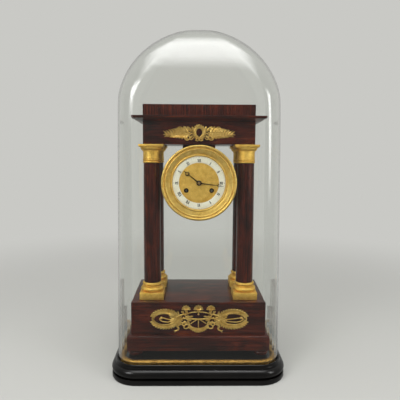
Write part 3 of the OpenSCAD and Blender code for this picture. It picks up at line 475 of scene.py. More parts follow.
def blown_glass():
    """Blown soda glass: clear, faintly grey-green through its thickness, and thin enough for lamps to
    light what stands inside."""
    material, tree, shader, place = new_material("blown_dome_glass", Base_Color=colour("FCFDFB"), Roughness=0,
                                                 Transmission_Weight=1, IOR=1.5, Specular_IOR_Level=0.32)
    waves = add_node(tree, "TexNoise", {"Vector": place, "Scale": 1 / (90 * MM), "Detail": 1})
    pull = add_node(tree, "Bump", {"Height": waves, "Strength": 0.3, "Distance": 0.6 * MM})
    feed(tree, shader, {"Normal": pull})
    clear = add_node(tree, "BsdfTransparent", {"Color": colour("F8FAF7")})
    path = add_node(tree, "LightPath").outputs
    lamps = add_node(tree, "Math", {0: path["Is Shadow Ray"], 1: path["Is Diffuse Ray"]}, operation="MAXIMUM")
    both = add_node(tree, "MixShader", {0: lamps, 1: shader, 2: clear})
    feed(tree, tree.nodes["surface"], {"Surface": both})
    return material


def fired_enamel(name, cloud_size, detail, stops, low, high, **coat):
    """Enamel fired on copper, very slightly uneven: milky white and glossy as a ground, and a dense soft
    black as the paint fired on it."""
    material, tree, shader, place = new_material(name, **coat)
    cloud = add_node(tree, "TexNoise", {"Vector": place, "Scale": 1 / (cloud_size * MM), "Detail": detail})
    tone = add_node(tree, "ValToRGB", {"Fac": cloud}, stops=stops)
    finish(tree, shader, tone, cloud, low, high)
    return material


MAHOGANY_X = mahogany("french_polished_mahogany_long_grain", "X")
MAHOGANY_Y = mahogany("french_polished_mahogany_side_grain", "Y")
MAHOGANY_Z = mahogany("french_polished_mahogany_upright_grain", "Z", flame=30, ribbon_share=0.55)
EBONY = ebonised_wood()
GLASS = blown_glass()
ENAMEL = fired_enamel("white_fired_enamel", 22, 3, ((0.35, "F2EAD6"), (0.65, "FAF5E7")), 0.14, 0.24,
                      Coat_Weight=0.6, Coat_Roughness=0.04)
NUMERAL_BLACK = fired_enamel("black_enamel_paint", 1.5, 2, ((0.3, "0B0A0C"), (0.7, "1A181A")), 0.3, 0.45,
                             Coat_Weight=0.3)
GILT_MATT = gilt("matt_fire_gilt_bronze", "DCAE4C", "F7D270", 0.56, grit=0.6)
GILT_TURNED = gilt("burnished_fire_gilt_bronze", "E6B956", "FCDC82", 0.44, grit=0.9)
GILT_WORN = gilt("worn_gilt_brass", "8A642A", "CDA253", 0.4, grit=1.4)
BLUED = drawn_metal("dark_blued_steel", "17161E", "1D1B24", 0.3)
BRASS = drawn_metal("stoned_clock_brass", "AD8B47", "C9A253", 0.3)
STEEL = drawn_metal("polished_clock_steel", "8C8E92", "A3A5A9", 0.26)
# Painted shade: the clicks behind the winding holes are made near black so that the holes look dark.
RATCHET_SHADE_STEEL = drawn_metal("ratchet_steel_painted_shade", "24211F", "2B2826", 0.4)
BELL_METAL = drawn_metal("turned_bell_metal", "9A814B", "B39658", 0.28)
# The winding arbors carry painted shade behind their square ends, so the winding holes look dark.
WINDING_STEEL = drawn_metal("winding_arbor_steel", "857F77", "9A948A", 0.3,
                            square_y=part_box("going_winding_arbor")[0].y)

# Base and dome

base_size, dome_size = size_of("socle"), size_of("glass_dome")
margin = (base_size.x - dome_size.x) / 2 / MM
base_top = base_size.z / MM
dome_corner, slip, glass_and_gap = 40, 1.5, 4
recess, lip, torus, torus_up = 31, margin - 1, 9, 19

base_profile = (
    [(-lip - 24, recess), (-lip, recess), (-lip, base_top - 0.5), (-lip + 0.5, base_top),
     (-lip + 2.2, base_top), (-lip + 2.9, base_top - 0.5), (-lip + 3, base_top - 1.6)]
    + arc(-1, base_top - 2, lip - 4, 182, 205, 4)
    + [(-torus + 2, torus_up + torus + 1), (-torus + 2, torus_up + torus)]
    + arc(-torus, torus_up, torus, 90, -90, 18)
    + [(-0.8, torus_up - torus - 0.3), (-0.5, torus_up - torus - 0.9), (-0.5, 1.2), (-0.9, 0.3), (-1.8, 0),
       (-lip - 24, 0)])
done(moulding_round("ebonised_base", base_profile, base_size, (dome_corner + margin) * MM, 0),
     EBONY, ["socle"])

done(rounded_board("base_platform", *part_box("platform"), (dome_corner - glass_and_gap - slip) * MM, 0.5 * MM),
     EBONY, ["platform"])

# The gilt slip: a flattened half round between two small flats, with a leg down the board's edge
board_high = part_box("platform")[1].z
slip_leg = (board_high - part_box("platform_fillet")[0].z) / MM
slip_profile = (
    [(-10, 0), (-10, 0.6), (-9.3, 0.9)]
    + [(-5 + 4.1 * cos(t), 0.7 + 2.5 * sin(t)) for t in range(172, 7, -12)]
    + [(-0.5, 0.9), (0, 0.5), (0, -slip_leg), (-slip, -slip_leg), (-slip, 0)])
done(moulding_round("gilt_slip", slip_profile, size_of("platform_fillet"), (dome_corner - glass_and_gap) * MM,
                    board_high, closed=True),
     GILT_WORN, ["platform_fillet"])

# The dome: the CAD shell with its facets rounded away, and its foot kept sharp
dome = from_node("glass_dome", name="blown_glass_dome", flats=False)
dome_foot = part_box("glass_dome")[0].z
with editing(dome, "EDGE", whole=True):
    bpy.ops.mesh.tris_convert_to_quads()
    pick(dome, lambda p: p.z < dome_foot + MM)
    bpy.ops.transform.edge_crease(value=1)
modify(dome, "SUBSURF", levels=2, render_levels=2)
done(dome, GLASS, ["glass_dome"], body="dome", angle=60)

# Case below the columns

foot_low, foot_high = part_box("bun_feet")
foot_r, foot_h = 14.5, (foot_high.z - foot_low.z) / MM
foot_profile = ([(0, 0), (9, 0), (10, 0.4)] + arc(foot_r - 5.3, foot_h / 2 - 0.2, 5.3, -52, 62, 14)
                + [(foot_r - 3.4, foot_h - 1.2), (foot_r - 3.4, foot_h), (0, foot_h)])
feet = [lathe("foot", foot_profile, (x, y, foot_low.z), steps=48)
        for x in (foot_low.x + foot_r * MM, foot_high.x - foot_r * MM)
        for y in (foot_low.y + foot_r * MM, foot_high.y - foot_r * MM)]
done(join("bun_feet_turned", feet), MAHOGANY_X, ["bun_feet"])

lower = size_of("lower_plinth")
step_in = (lower.x - size_of("plinth_front").x) / 2 / MM
step_up, face_h = 3.2, lower.z / MM - 3.2
lower_edge = [(0.4, 0), (0, 0.4), (0, face_h - 0.3), (0.3, face_h)] + [
    (0.6 + (step_in - 1.2) * (1 - cos(t)), face_h + 0.1 + (step_up - 0.1) * sin(t)) for t in range(0, 91, 9)]
moulded_board("lower_plinth_moulded", "lower_plinth", lower_edge, MAHOGANY_X)

board_ease = 0.35 * MM
for node in ("plinth_front", "plinth_back", "frieze_front", "frieze_back", "soffit"):
    done(eased_box(node + "_veneered", *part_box(node), board_ease), MAHOGANY_X, [node])

for node in ("plinth_sides", "frieze_ends"):
    (x0, y0, z0), (x1, y1, z1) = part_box(node)
    thick = size_of("plinth_front").y
    sides = [eased_box("side", (x, y0, z0), (x + thick, y1, z1), board_ease) for x in (x0, x1 - thick)]
    done(join(node + "_veneered", sides), MAHOGANY_Y, [node])

top_h = size_of("plinth_top").z / MM
top_edge = [(0.2, 0), (0, 0.3), (0, top_h - 1)] + [(1 - cos(t), top_h - 1 + sin(t)) for t in (22, 45, 67, 90)]
moulded_board("plinth_top_board", "plinth_top", top_edge, MAHOGANY_X)

# Columns

def column_shaft():
    """A plain shaft with a little swell, on the front left column's axis."""
    centre, low = place_of("column_fl"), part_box("column_fl")[0].z
    foot, neck, height = 16.8, 16.2, size_of("column_fl").z / MM
    profile = [(0, 0), (foot - 0.3, 0), (foot, 0.5), (foot, height * 0.3), (foot - 0.12, height * 0.55),
               (foot - 0.34, height * 0.8), (neck, height - 0.5), (neck - 0.3, height), (0, height)]
    return lathe("shaft", profile, (centre.x, centre.y, low))


def column_base():
    """A square block with a torus, a hollow and a neck ring turned above it."""
    low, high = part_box("column_base_fl")
    centre, side, block = place_of("column_base_fl"), (high.x - low.x) / MM, 14
    turned = (high.z - low.z) / MM - block
    lower_torus, neck_ring = turned * 0.52, turned * 0.36
    torus_out, ring_out = side / 2 - 0.8, 19.5
    profile = ([(0, 0), (torus_out - lower_torus / 2, 0)]
               + arc(torus_out - lower_torus / 2, lower_torus / 2, lower_torus / 2, -90, 78, 14)
               + [(ring_out - 1.6, lower_torus), (ring_out - 2.2, lower_torus + 0.4),
                  (ring_out - 2.4, lower_torus + 1), (ring_out - 2.2, lower_torus + 1.8)]
               + arc(ring_out - neck_ring / 2, turned - neck_ring / 2, neck_ring / 2, -80, 90, 12)
               + [(0, turned)])
    top = low.z + block * MM
    return join("base", [eased_box("block", low, (high.x, high.y, top), 0.8 * MM),
                         lathe("turned", profile, (centre.x, centre.y, top))])


def capital():
    """Two rings, a neck, a flared echinus and a square slab."""
    low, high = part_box("capital_fl")
    centre, side, height = place_of("capital_fl"), (high.x - low.x) / MM, (high.z - low.z) / MM
    neck, slab, bead, out, rings_h = 17.1, 5.5, 3.6, 17.9, 8
    echinus_foot, echinus_h, flare = height - slab - 6, 6, side / 2 - 1.6
    profile = ([(0, 0), (out - bead / 2, 0)] + arc(out - bead / 2, bead / 2, bead / 2, -90, 70, 8)
               + [(neck - 0.7, bead + 0.3), (neck - 0.7, rings_h - bead - 0.3)]
               + arc(out - bead / 2, rings_h - bead / 2, bead / 2, -70, 80, 8)
               + [(neck, rings_h + 0.3), (neck - 0.2, 15), (neck, echinus_foot - 1.6),
                  (neck + 1.2, echinus_foot - 1.3), (neck + 1.2, echinus_foot - 0.2)]
               + [(neck + 0.7 + (flare - neck - 0.7) * cos(t), echinus_foot + echinus_h * (1 + sin(t)))
                  for t in range(-80, 1, 8)]
               + [(0, echinus_foot + echinus_h)])
    slab_low, half = high.z - slab * MM, (side / 2 - 1.2) * MM
    lower_slab = eased_box("slab_foot", (centre.x - half, centre.y - half, slab_low),
                           (centre.x + half, centre.y + half, slab_low + 1.4 * MM), 0.4 * MM)
    upper_slab = eased_box("slab", (low.x, low.y, slab_low + 1.2 * MM), high, 0.7 * MM)
    return join("capital", [lathe("turned", profile, (centre.x, centre.y, low.z)), lower_slab, upper_slab])


for make, stem, name, material, slot in (
        (column_shaft, "column_", "column_shaft_", MAHOGANY_Z, "mahogany"),
        (column_base, "column_base_", "gilt_base_", GILT_MATT, "gilt"),
        (capital, "capital_", "gilt_capital_", GILT_MATT, "gilt")):
    first = make()
    first.name = name + "fl"
    twins = [first] + [copy_to(first, name + corner, place_of(stem + corner) - place_of(stem + "fl"))
                       for corner in CORNERS[1:]]
    for corner, piece in zip(CORNERS, twins):
        done(piece, material, [stem + corner], angle=30)

# Entablature

cove = size_of("cornice_cove")
cove_out, cove_h = (cove.x - size_of("frieze_front").x) / 2 / MM, cove.z / MM
slab_h, attic_h = size_of("cornice_slab").z / MM, size_of("attic").z / MM
cove_edge = [(cove_out, 0), (cove_out, 0.8)] + [
    (1.5 + (cove_out - 1.5) * cos(t), 0.8 + (cove_h - 1.8) * (1 - cos(t))) for t in range(9, 91, 9)
] + [(0.2, cove_h - 0.9), (0, cove_h - 0.6), (0, cove_h)]
slab_edge = [(0.9, 0), (0.3, 0.3), (0, 0.9), (0, slab_h - 0.9), (0.3, slab_h - 0.3), (0.9, slab_h)]
attic_edge = [(0.2, 0), (0, 0.2), (0, attic_h - 1), (0.3, attic_h - 0.3), (1, attic_h)]
moulded_board("cornice_cove_moulded", "cornice_cove", cove_edge, MAHOGANY_X)
moulded_board("cornice_slab_moulded", "cornice_slab", slab_edge, MAHOGANY_X)
moulded_board("attic_block", "attic", attic_edge, MAHOGANY_Z)
done(from_node("drum_saddle", 0.4 * MM), MAHOGANY_X, ["drum_saddle"])


# Gilt mounts, modelled flat with their relief upwards, then stood against the wood

def leaf(name, length, width, rise, outline):
    """A cast leaf along +X, in mm: a grid drawn in to a point, its midrib raised, then made thick."""
    cells, thick = len(outline) - 1, 0.5
    piece = start(name, bpy.ops.mesh.primitive_grid_add, x_subdivisions=cells, y_subdivisions=2, size=1,
                  location=(length / 2 * MM, 0, 0), scale=(length * MM, width * MM, 1))
    ribs = (0.5, 0.85, 1.0, 1.0, 0.85, 0.6, 0.2)
    with editing(piece):
        for i, (spread, rib) in enumerate(zip(outline, ribs)):
            x = length * i / cells * MM
            pick(piece, lambda p: abs(p.x - x) < 0.1 * MM)
            draw_in((1, spread, 1), (x, 0, 0))
            pick(piece, lambda p: abs(p.x - x) < 0.1 * MM and abs(p.y) < 0.01 * MM)
            bpy.ops.transform.translate(value=(0, 0, rise * rib * MM))
        bpy.ops.mesh.select_all(action="SELECT")
        bpy.ops.transform.translate(value=(0, 0, thick * MM))
        extrude((0, 0, -thick * MM))
        draw_in((1, 1, 0))
    return close_up(piece)


def lay(form, u, v, turn, size=1.0, lift=0.0, height=0.0):
    """Copies a cast form to a place on its mount, in mm: turned, sized, and its tip lifted."""
    use(form)
    bpy.ops.object.duplicate()
    twin = bpy.context.object
    twin.location = (u * MM, v * MM, height * MM)
    twin.rotation_euler = (0, -math.radians(lift), math.radians(turn))
    twin.scale = (size, size, size)
    return twin


def boss(name, radius, rise):
    """A small domed boss with a rim, turned."""
    return lathe(name, [(0, 0), (radius, 0), (radius, rise * 0.25), (radius * 0.86, rise * 0.45),
                        (radius * 0.72, rise * 0.4), (radius * 0.5, rise * 0.85), (radius * 0.25, rise),
                        (0, rise)], steps=14)


def stand_up(parts, name, face_y, centre_z, material, node, tall):
    """Joins a mount's castings, fits them to their width and relief, and stands them against the wood."""
    piece = join(name, parts)
    wide = size_of(node).x / piece.dimensions.x
    relief = size_of(node).y / max(vertex.co.z for vertex in piece.data.vertices)
    piece.scale = (wide, tall, relief)
    settle()
    piece.rotation_euler.x = math.radians(90)
    piece.location = (0, face_y, centre_z)
    settle()
    done(piece, material, [node], angle=50)


LEAF = leaf("laurel_leaf", 7.4, 3.6, 1.2, (0.35, 0.85, 1.0, 0.96, 0.8, 0.5, 0.08))
LONG_LEAF = leaf("long_leaf", 12, 2.9, 1.2, (0.3, 0.7, 0.96, 1.0, 0.8, 0.45, 0.04))
BROAD_LEAF = leaf("broad_leaf", 11, 5, 1.5, (0.35, 0.7, 1.0, 0.75, 0.92, 0.5, 0.08))
PETAL = leaf("petal", 10.5, 3.8, 1.4, (0.2, 0.36, 0.54, 0.76, 1.0, 1.0, 0.6))
BERRY = boss("berry", 1.2, 1.6)
FLOWER = boss("flower_centre", 1.7, 2)


def laurel_ring(centre, half_w, half_h, stations, gap):
    """Pairs of leaves that run both ways round an oval from the ties, and leave its far end a bare stem."""
    parts = [wire("stem", oval(centre, 0, half_w, half_h, 1.1, range(0, 361, 10)), 1.3)]
    for way in (1, -1):
        for i in range(stations):
            t = (180 - (180 - gap) * (i + 0.4) / stations) * way
            u, v = centre + half_w * cos(t), half_h * sin(t)
            run = math.degrees(math.atan2(-way * half_h * cos(t), way * half_w * sin(t)))
            size = 1.16 - 0.3 * (i / stations) ** 3
            for side in (1, -1):
                parts.append(lay(LEAF, u, v, run + side * way * 42, size, 16, 0.6 + 0.4 * (side > 0)))
                lean = run + side * way * 90
                parts.append(lay(BERRY, u + 2 * cos(lean), v + 2 * sin(lean), 0, 1.0, 0, 0.7))
            parts.append(lay(BERRY, u, v, 0, 1.0, 0, 1.1))
    return parts


def palmette(u, v, petals, size):
    """A fan of petals that opens out of a funnel, with a collar where they meet."""
    middle = (petals - 1) / 2
    fan = [lay(PETAL, u, v - 1, 90 + (i - middle) * 26, size * (1 - 0.04 * abs(i - middle)), 10, 0.8)
           for i in range(petals)]
    funnel = [lay(PETAL, u, v - 10 * size, 90 + lean, size, 4, 0.4) for lean in (-9, 0, 9)]
    return fan + funnel + [lay(FLOWER, u, v - 0.5, 0, 1.15, 0, 1.4),
                           lay(BERRY, u, v - 10 * size, 0, 1.5, 0, 0.4)]


def lower_side(knob_u, centre, half_w):
    """One half of the lower mount: wreath, loop with its knob, ties, leaves, ribbon and palmette."""
    parts = laurel_ring(centre, half_w, 14.8, 14, 20)
    inner = centre - half_w + 7
    loop = through([(inner - 8, 1.5, 1.6), (inner + 4, -4, 1.8), (knob_u - 12, -6.2, 1.8),
                    (knob_u - 2, -4.6, 1.8), (knob_u + 2.6, -0.8, 2), (knob_u, 2.4, 2.2),
                    (knob_u - 5, 1.6, 2), (inner + 6, -1, 1.8), (inner - 6, 1.5, 1.6)])
    parts.append(wire("loop", loop, 1.0))
    parts.append(lay(BERRY, knob_u - 0.5, 2, 0, 2.1, 0, 0.8))
    # Ties that cross between the wreath and the middle
    parts += [wire("tie", through(points), 1.4, 0.7) for points in (
        ((52, -2.5, 1.6), (43, 2, 2), (33, 7.5, 2.2), (22, 9.5, 2)),
        ((52, 3.5, 1.6), (42, -1, 2), (31, -6.5, 2), (20, -10, 1.8)),
        ((48, 7, 1.4), (40, 4, 1.8), (30, 1, 2), (16, 1.6, 1.8)))]
    # The tied bunch of leaves and berries
    parts += [lay(BROAD_LEAF, u, v, turn, size, 12, 0.9) for u, v, turn, size in (
        (26, 9, 52, 0.8), (30, 5.5, 20, 0.9), (35, 4.5, -12, 0.9), (39, 5.5, 40, 0.75), (24, 4, 172, 0.85),
        (29, 0.5, -30, 0.95), (34, -0.5, 14, 0.8), (22, -0.5, 196, 0.9), (27, -4.5, 208, 0.8),
        (32, -5, -48, 0.85), (38, -3.5, -22, 0.85), (42, 0.5, -60, 0.75), (43, 1.5, 66, 0.75),
        (17, 3.5, 164, 0.75))]
    parts += [lay(BROAD_LEAF, u, v, turn, size, 16, 1.3) for u, v, turn, size in (
        (22, 8, 110, 0.7), (36, 8.5, 78, 0.7), (20, -4, 232, 0.7), (35, -6.5, -84, 0.75),
        (44, -3.5, -30, 0.8), (46, 4.5, 24, 0.8), (18, 0.5, 176, 0.65), (28, 9.5, 92, 0.65))]
    parts += [lay(BERRY, u, v, 0, 1.2, 0, 1.2) for u, v in (
        (27, 2.5), (33, 2), (30, -2.5), (37, 1), (24, 7), (40, 4), (21, 2), (34, 6.5), (26, -6.5))]
    # Ribbon bow and its tails
    parts.append(wire("bow", [(21 + 5.6 * cos(t), -14.6 + 4 * sin(t) - 1.4 * cos(t), 1.8)
                              for t in range(0, 361, 20)], 1.15))
    fold = through([(26, -14.5, 1.8), (30, -10, 2.4), (25, -7.5, 2.4), (21, -9.5, 2)])
    parts.append(wire("bow_fold", fold, 1.2, 0.7))
    parts.append(wire("tail", through([(28, -9.5, 1.8), (34, -11, 2), (38.4, -14.4, 2.4), (36.2, -18.4, 2.2),
                                       (37.6, -21.8, 2), (42, -23.8, 1.6)]), 1.65, 0.62))
    parts += [lay(LEAF, 41.4, -23.6, turn, 0.5, 6, 1.2) for turn in (-52, 6)]
    return parts + palmette(22.5, 18.6, 7, 0.92)


def lower_mount():
    """The wreaths of both sides, the middle palmette and bar, and the garland below."""
    near = join("near_side", lower_side(68, 61.5, 22.6))
    parts = [join("right_side", lower_side(79, 63.6, 24.2)), mirrored(near, "left_side")]
    bpy.data.objects.remove(near)
    # Middle palmette, the arc between the outer ones, and the bar with its spokes
    parts += palmette(0, 18.6, 7, 0.98)
    parts.append(wire("arc", oval(0, 8.5, 20, 5, 1.2, range(5, 176, 10)), 0.9))
    bow_bar = through([(-24, 3, 1.6), (-14, 0.2, 1.8), (0, -0.8, 2), (14, 0.2, 1.8), (24, 3, 1.6)])
    parts.append(wire("bar", bow_bar, 1.5, 0.8))
    parts += [wire("spoke", [(u * 0.12, -1, 1.2), (u, v, 1.2)], 0.8)
              for u, v in ((-14.5, -9.5), (0, -17), (14.5, -9.5))]
    # Garland of overlapping leaves that meet under the middle spoke
    stations, half_w, half_h, middle = 15, 19, 15.5, -6
    parts.append(wire("garland_stem", oval(0, middle, half_w, half_h, 1, range(200, 341, 10)), 1.3))
    for i in range(stations):
        t = 203 + 134 * i / (stations - 1)
        u, v = half_w * cos(t), middle + half_h * sin(t)
        swell = 0.68 + 0.3 * math.sin(math.pi * i / (stations - 1))
        run = math.degrees(math.atan2(half_h * cos(t), -half_w * sin(t))) + (0 if i < stations // 2 else 180)
        for side in (-40, 40):
            parts.append(lay(LEAF, u, v, run + side, swell, 12, 0.9))
        parts.append(lay(BERRY, u, v, 0, 1.2, 0, 1.6))
    face_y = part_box("plinth_front")[0].y
    # The lower mount's gilt has painted shade, dark brown, in the hollows within 1.1 mm of the wood.
    material = gilt("chased_gilt_bronze_lower", "DAAA4E", "FFDE84", 0.4, shade_ground_y=face_y, relief=1.1)
    stand_up(parts, "lower_gilt_mount", face_y, place_of("lower_mount").z - 1.0 * MM, material,
             "lower_mount", 1.015)


def upper_side():
    """The right half of the upper mount: a branch of pointed leaves with scrolls and a ring."""
    stem = through([(9, -3, 1.2), (20, 0, 1.4), (36, -0.5, 1.4), (52, -2, 1.2), (61, -3, 1)])
    parts = [wire("branch", stem, 1.2, 0.7)]
    for i in range(9):
        u, v, size = 20 + i * 4.9, -0.3 - 0.035 * i * i, 1.25 - 0.055 * i
        parts.append(lay(LONG_LEAF, u, v + 0.5, 54 - 2.6 * i, size, 10, 0.5))
        parts.append(lay(LONG_LEAF, u - 2, v - 0.5, -52 + 2.6 * i, size, 10, 0.5))
        parts.append(lay(LEAF, u, v + 0.6, 26 - 1.5 * i, size * 0.85, 16, 1.5))
        parts.append(lay(LEAF, u - 1, v - 0.6, -24 + 1.5 * i, size * 0.8, 16, 1.5))
        parts.append(lay(BERRY, u + 2, v, 0, 1.1, 0, 1.6))
    parts.append(lay(LONG_LEAF, 60, -3, -3, 0.7, 8, 0.5))
    for i in range(6):
        u, size = 25 + 5.2 * i, 0.92 - 0.06 * i
        parts.append(lay(BROAD_LEAF, u, 2.4 - 0.3 * i, 64 - 4 * i, size, 14, 1.1))
        parts.append(lay(BROAD_LEAF, u - 2, -2.6 - 0.3 * i, -62 + 3 * i, size, 14, 1.1))
        parts.append(lay(BERRY, u + 3, 5.6 - 0.5 * i, 0, 0.95, 0, 1.2))
        parts.append(lay(BERRY, u + 1, -5.8 + 0.2 * i, 0, 0.95, 0, 1.2))
    # Leaves that rise beside the wreath
    parts += [lay(BROAD_LEAF, u, v, turn, size * 0.85, 12, 0.8) for u, v, turn, size in (
        (12, 2, 84, 1.0), (15, 2, 58, 1.1), (20, 3, 74, 0.95), (26, 4, 98, 0.8), (12, -5, -40, 0.9),
        (30, -4, -74, 0.85), (26, -3, -100, 0.7), (31, 4, 66, 0.85))]
    # Ring with its spokes, scrolls and arch
    ring = (22.5, -8.6, 4.6, 4.6)
    parts.append(wire("ring", oval(*ring, 1.8, range(0, 361, 20)), 1.0))
    parts += [wire("ray", oval(*ring, 1.4, (turn + 180, turn)), 0.5) for turn in (60, 90, 120)]
    parts.append(wire("arch", oval(36, 4, 5, 6.4, 1.8, range(10, 171, 16)), 1.0, 0.7))
    parts += [wire("scroll", through(points), 1.0, 0.6) for points in (
        ((10, -8, 1.6), (14, -12, 1.8), (18, -10.5, 2), (17, -7, 2), (14, -7.5, 1.8)),
        ((14, -1, 1.8), (19, -4.5, 2), (24, -3.5, 2), (27, -0.5, 1.8)),
        ((13, 5, 1.8), (17, 4.2, 2), (21, 5, 2), (23, 8.5, 1.8)))]
    return parts + [lay(BERRY, u, v, 0, 1.4, 0, 1.2) for u, v in ((36, 3), (18, 0), (27, -8))]


def upper_mount():
    """The branches of both sides, the oval wreath and its knot."""
    side = join("right_branch", upper_side())
    parts = [side, mirrored(side, "left_branch")]
    half_w, half_h, up = 8.8, 9.8, 0.8
    parts.append(wire("wreath_stem", oval(0, up, half_w, half_h, 1.2, range(0, 361, 15)), 2))
    for way in (1, -1):
        for i in range(10):
            t = -90 + way * 172 * (i + 0.5) / 10
            u, v = half_w * cos(t), up + half_h * sin(t)
            run = math.degrees(math.atan2(way * half_h * cos(t), -way * half_w * sin(t)))
            parts += [lay(LEAF, u, v, run + spread, 0.78, 14, 1.2) for spread in (-44, 44)]
    # Knot of ribbon under the wreath
    for u in (-1, 1):
        loop = ((0, -12, 2), (u * 4, -10, 2.2), (u * 6.5, -13, 2), (u * 3, -14.5, 1.8), (0, -12.6, 1.8))
        parts.append(wire("knot", through(loop), 0.9, 0.7))
    parts.append(lay(FLOWER, 0, -12.2, 0, 1.1, 0, 1.6))
    face_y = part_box("frieze_front")[0].y
    # The upper mount's gilt has painted shade, dark brown, in the hollows within 1.3 mm of the wood.
    material = gilt("chased_gilt_bronze_upper", "CCA04C", "ECCA78", 0.38, shade_ground_y=face_y, relief=1.3)
    stand_up(parts, "upper_gilt_mount", face_y, place_of("upper_mount").z, material, "upper_mount", 1.05)


lower_mount()
upper_mount()
for form in (LEAF, LONG_LEAF, BROAD_LEAF, PETAL, BERRY, FLOWER):
    bpy.data.objects.remove(form)

# Bezel and dial

dial = Vector((0, 0, place_of("chapter_ring").z))
bezel_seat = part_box("bezel")[1].y
bezel_r, bezel_h = size_of("bezel").x / 2 / MM, size_of("bezel").y / MM
flutes, flute_depth = 150, 0.2

bezel_profile = (
    [(56.3, 0), (bezel_r - 1, 0), (bezel_r, 1), (bezel_r, 1.8)]
    + arc(bezel_r - 2.6, bezel_h - 2.6, 2.6, 8, 150, 12)
    + [(bezel_r - 5.6, bezel_h - 2.4), (bezel_r - 6.4, bezel_h - 2.6), (bezel_r - 7, bezel_h - 2.2)]
    + arc(bezel_r - 8.2, bezel_h - 2.3, 1.2, 10, 150, 6)
    + [(62.2, bezel_h - 2.2), (60.4, bezel_h - 2.4), (57.6, bezel_h - 3.1), (55.2, bezel_h - 3.9),
       (54.1, bezel_h - 4.3)]
    + arc(52.7, bezel_h - 3.6, 1.2, -10, 170, 8)
    + [(51.2, bezel_h - 4), (51.2, 2), (56.3, 2)])
bezel = lathe("gilt_bezel", bezel_profile, dial + Vector((0, bezel_seat, 0)), along="Y", steps=2 * flutes,
              closed=True)
with editing(bezel):
    def on_flute(p):
        """Every second spoke of the wide band, which stands proud as the edge of a flute."""
        radius = math.hypot(p.x, p.z - dial.z) / MM
        spoke = round(math.degrees(math.atan2(p.x, p.z - dial.z)) * 2 * flutes / 360)
        return 54.6 < radius < 62.6 and p.y < bezel_seat - (bezel_h - 4.2) * MM and spoke % 2 == 0
    pick(bezel, on_flute)
    bpy.ops.transform.translate(value=(0, -flute_depth * MM, 0))
done(bezel, GILT_TURNED, ["bezel"], angle=25)

plate_back, plate_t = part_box("chapter_ring")[1].y, 1.5 * MM
centre_profile = [(0, 0), (56, 0), (56, 1.5), (37.8, 1.5), (37.8, 2.6), (37.4, 3)]
for groove in (36, 33.4):
    centre_profile += [(groove + 0.5, 3), (groove + 0.2, 2.7), (groove - 0.2, 2.7), (groove - 0.5, 3)]
centre_profile.append((0, 3))
dial_plate = lathe("gilt_dial_plate", centre_profile, dial + Vector((0, plate_back + plate_t, 0)), along="Y",
                   steps=128)
wind_x, _, wind_z = place_of("going_winding_arbor")
for x, z, radius in ((0, dial.z, 3.8), (wind_x, wind_z, 4.5), (-wind_x, wind_z, 4.5)):
    drill = start("drill", bpy.ops.mesh.primitive_cylinder_add, vertices=48, radius=radius * MM,
                  depth=12 * MM, location=(x, plate_back, z), rotation=(math.radians(90), 0, 0))
    modify(dial_plate, "BOOLEAN", operation="DIFFERENCE", object=drill, solver="EXACT")
    bpy.data.objects.remove(drill)
collets = [lathe("collet", [(4.5, 2.6), (5.3, 2.6), (5.3, 3.1), (5.0, 3.3), (4.7, 3.3), (4.5, 3.1)],
                 (x, plate_back + plate_t, wind_z), along="Y", steps=48, closed=True)
           for x in (wind_x, -wind_x)]
foot_circle = 41 * MM
dial_feet = [lathe("dial_foot", [(0, -7), (1.6, -7), (1.6, 0.2), (0, 0.2)],
                   (foot_circle * cos(t), plate_back + plate_t, dial.z + foot_circle * sin(t)),
                   along="Y", steps=20) for t in (90, 210, 330)]
done(join("gilt_dial_plate", [dial_plate] + collets + dial_feet), GILT_MATT, ["dial_plate"], angle=30)

ring_in, ring_out, ring_t = 38, size_of("chapter_ring").x / 2 / MM, size_of("chapter_ring").y / MM
ring_profile = [(ring_in, 0), (ring_out, 0), (ring_out, ring_t - 0.8), (ring_out - 0.5, ring_t - 0.5),
                (ring_out - 2, ring_t - 0.2), (46.5, ring_t - 0.05), (44.2, ring_t), (42, ring_t - 0.05),
                (ring_in + 2, ring_t - 0.2), (ring_in + 0.5, ring_t - 0.5), (ring_in, ring_t - 0.8)]
done(lathe("enamel_chapter_ring", ring_profile, dial + Vector((0, plate_back, 0)), along="Y", steps=128,
           closed=True),
     ENAMEL, ["chapter_ring"])


PAINT_T = 0.3 * MM
THICK, THIN = 1.25, 0.6
# Each letter's width in mm, its strokes as (across, tall, thick, lean), and its serifs as (across, up)
LETTERS = {
    "I": (1.75, ((0, 1, THICK, 0),), ((0, 0), (0, 1))),
    "V": (3.3, ((-0.16, 1, THICK, 0.5), (0.16, 1, THIN, -0.5)), ((-0.3, 1), (0.3, 1))),
    "X": (3.5, ((0, 1.04, THICK, 1), (0, 1.04, THIN, -1)), ((-0.3, 0), (-0.3, 1), (0.3, 0), (0.3, 1)))}


def bar(u, v, length, width, turn):
    """One brush stroke of a numeral, in mm: a thin block whose face is drawn in a little."""
    piece = start("bar", bpy.ops.mesh.primitive_cube_add, size=1, scale=(width * MM, length * MM, PAINT_T))
    with editing(piece):
        pick(piece, lambda p: p.z > 0)
        draw_in((0.9, 0.98, 1))
    piece.location = (u * MM, v * MM, 0)
    piece.rotation_euler.z = math.radians(turn)
    return piece


def numeral(text, height):
    """A Roman numeral in mm, its foot at 0, with thick and thin strokes and serifs."""
    strokes, u = [], -sum(LETTERS[letter][0] for letter in text) / 2
    for letter in text:
        wide, lines, serifs = LETTERS[letter]
        middle, lean = u + wide / 2, math.degrees(math.atan2(wide * 0.62, height))
        strokes += [bar(middle + wide * across, height / 2, height * tall, thick, lean * share)
                    for across, tall, thick, share in lines]
        strokes += [bar(middle + wide * across, 0.2 + (height - 0.4) * up, 0.4, 1.8, 0)
                    for across, up in serifs]
        u += wide
    return strokes


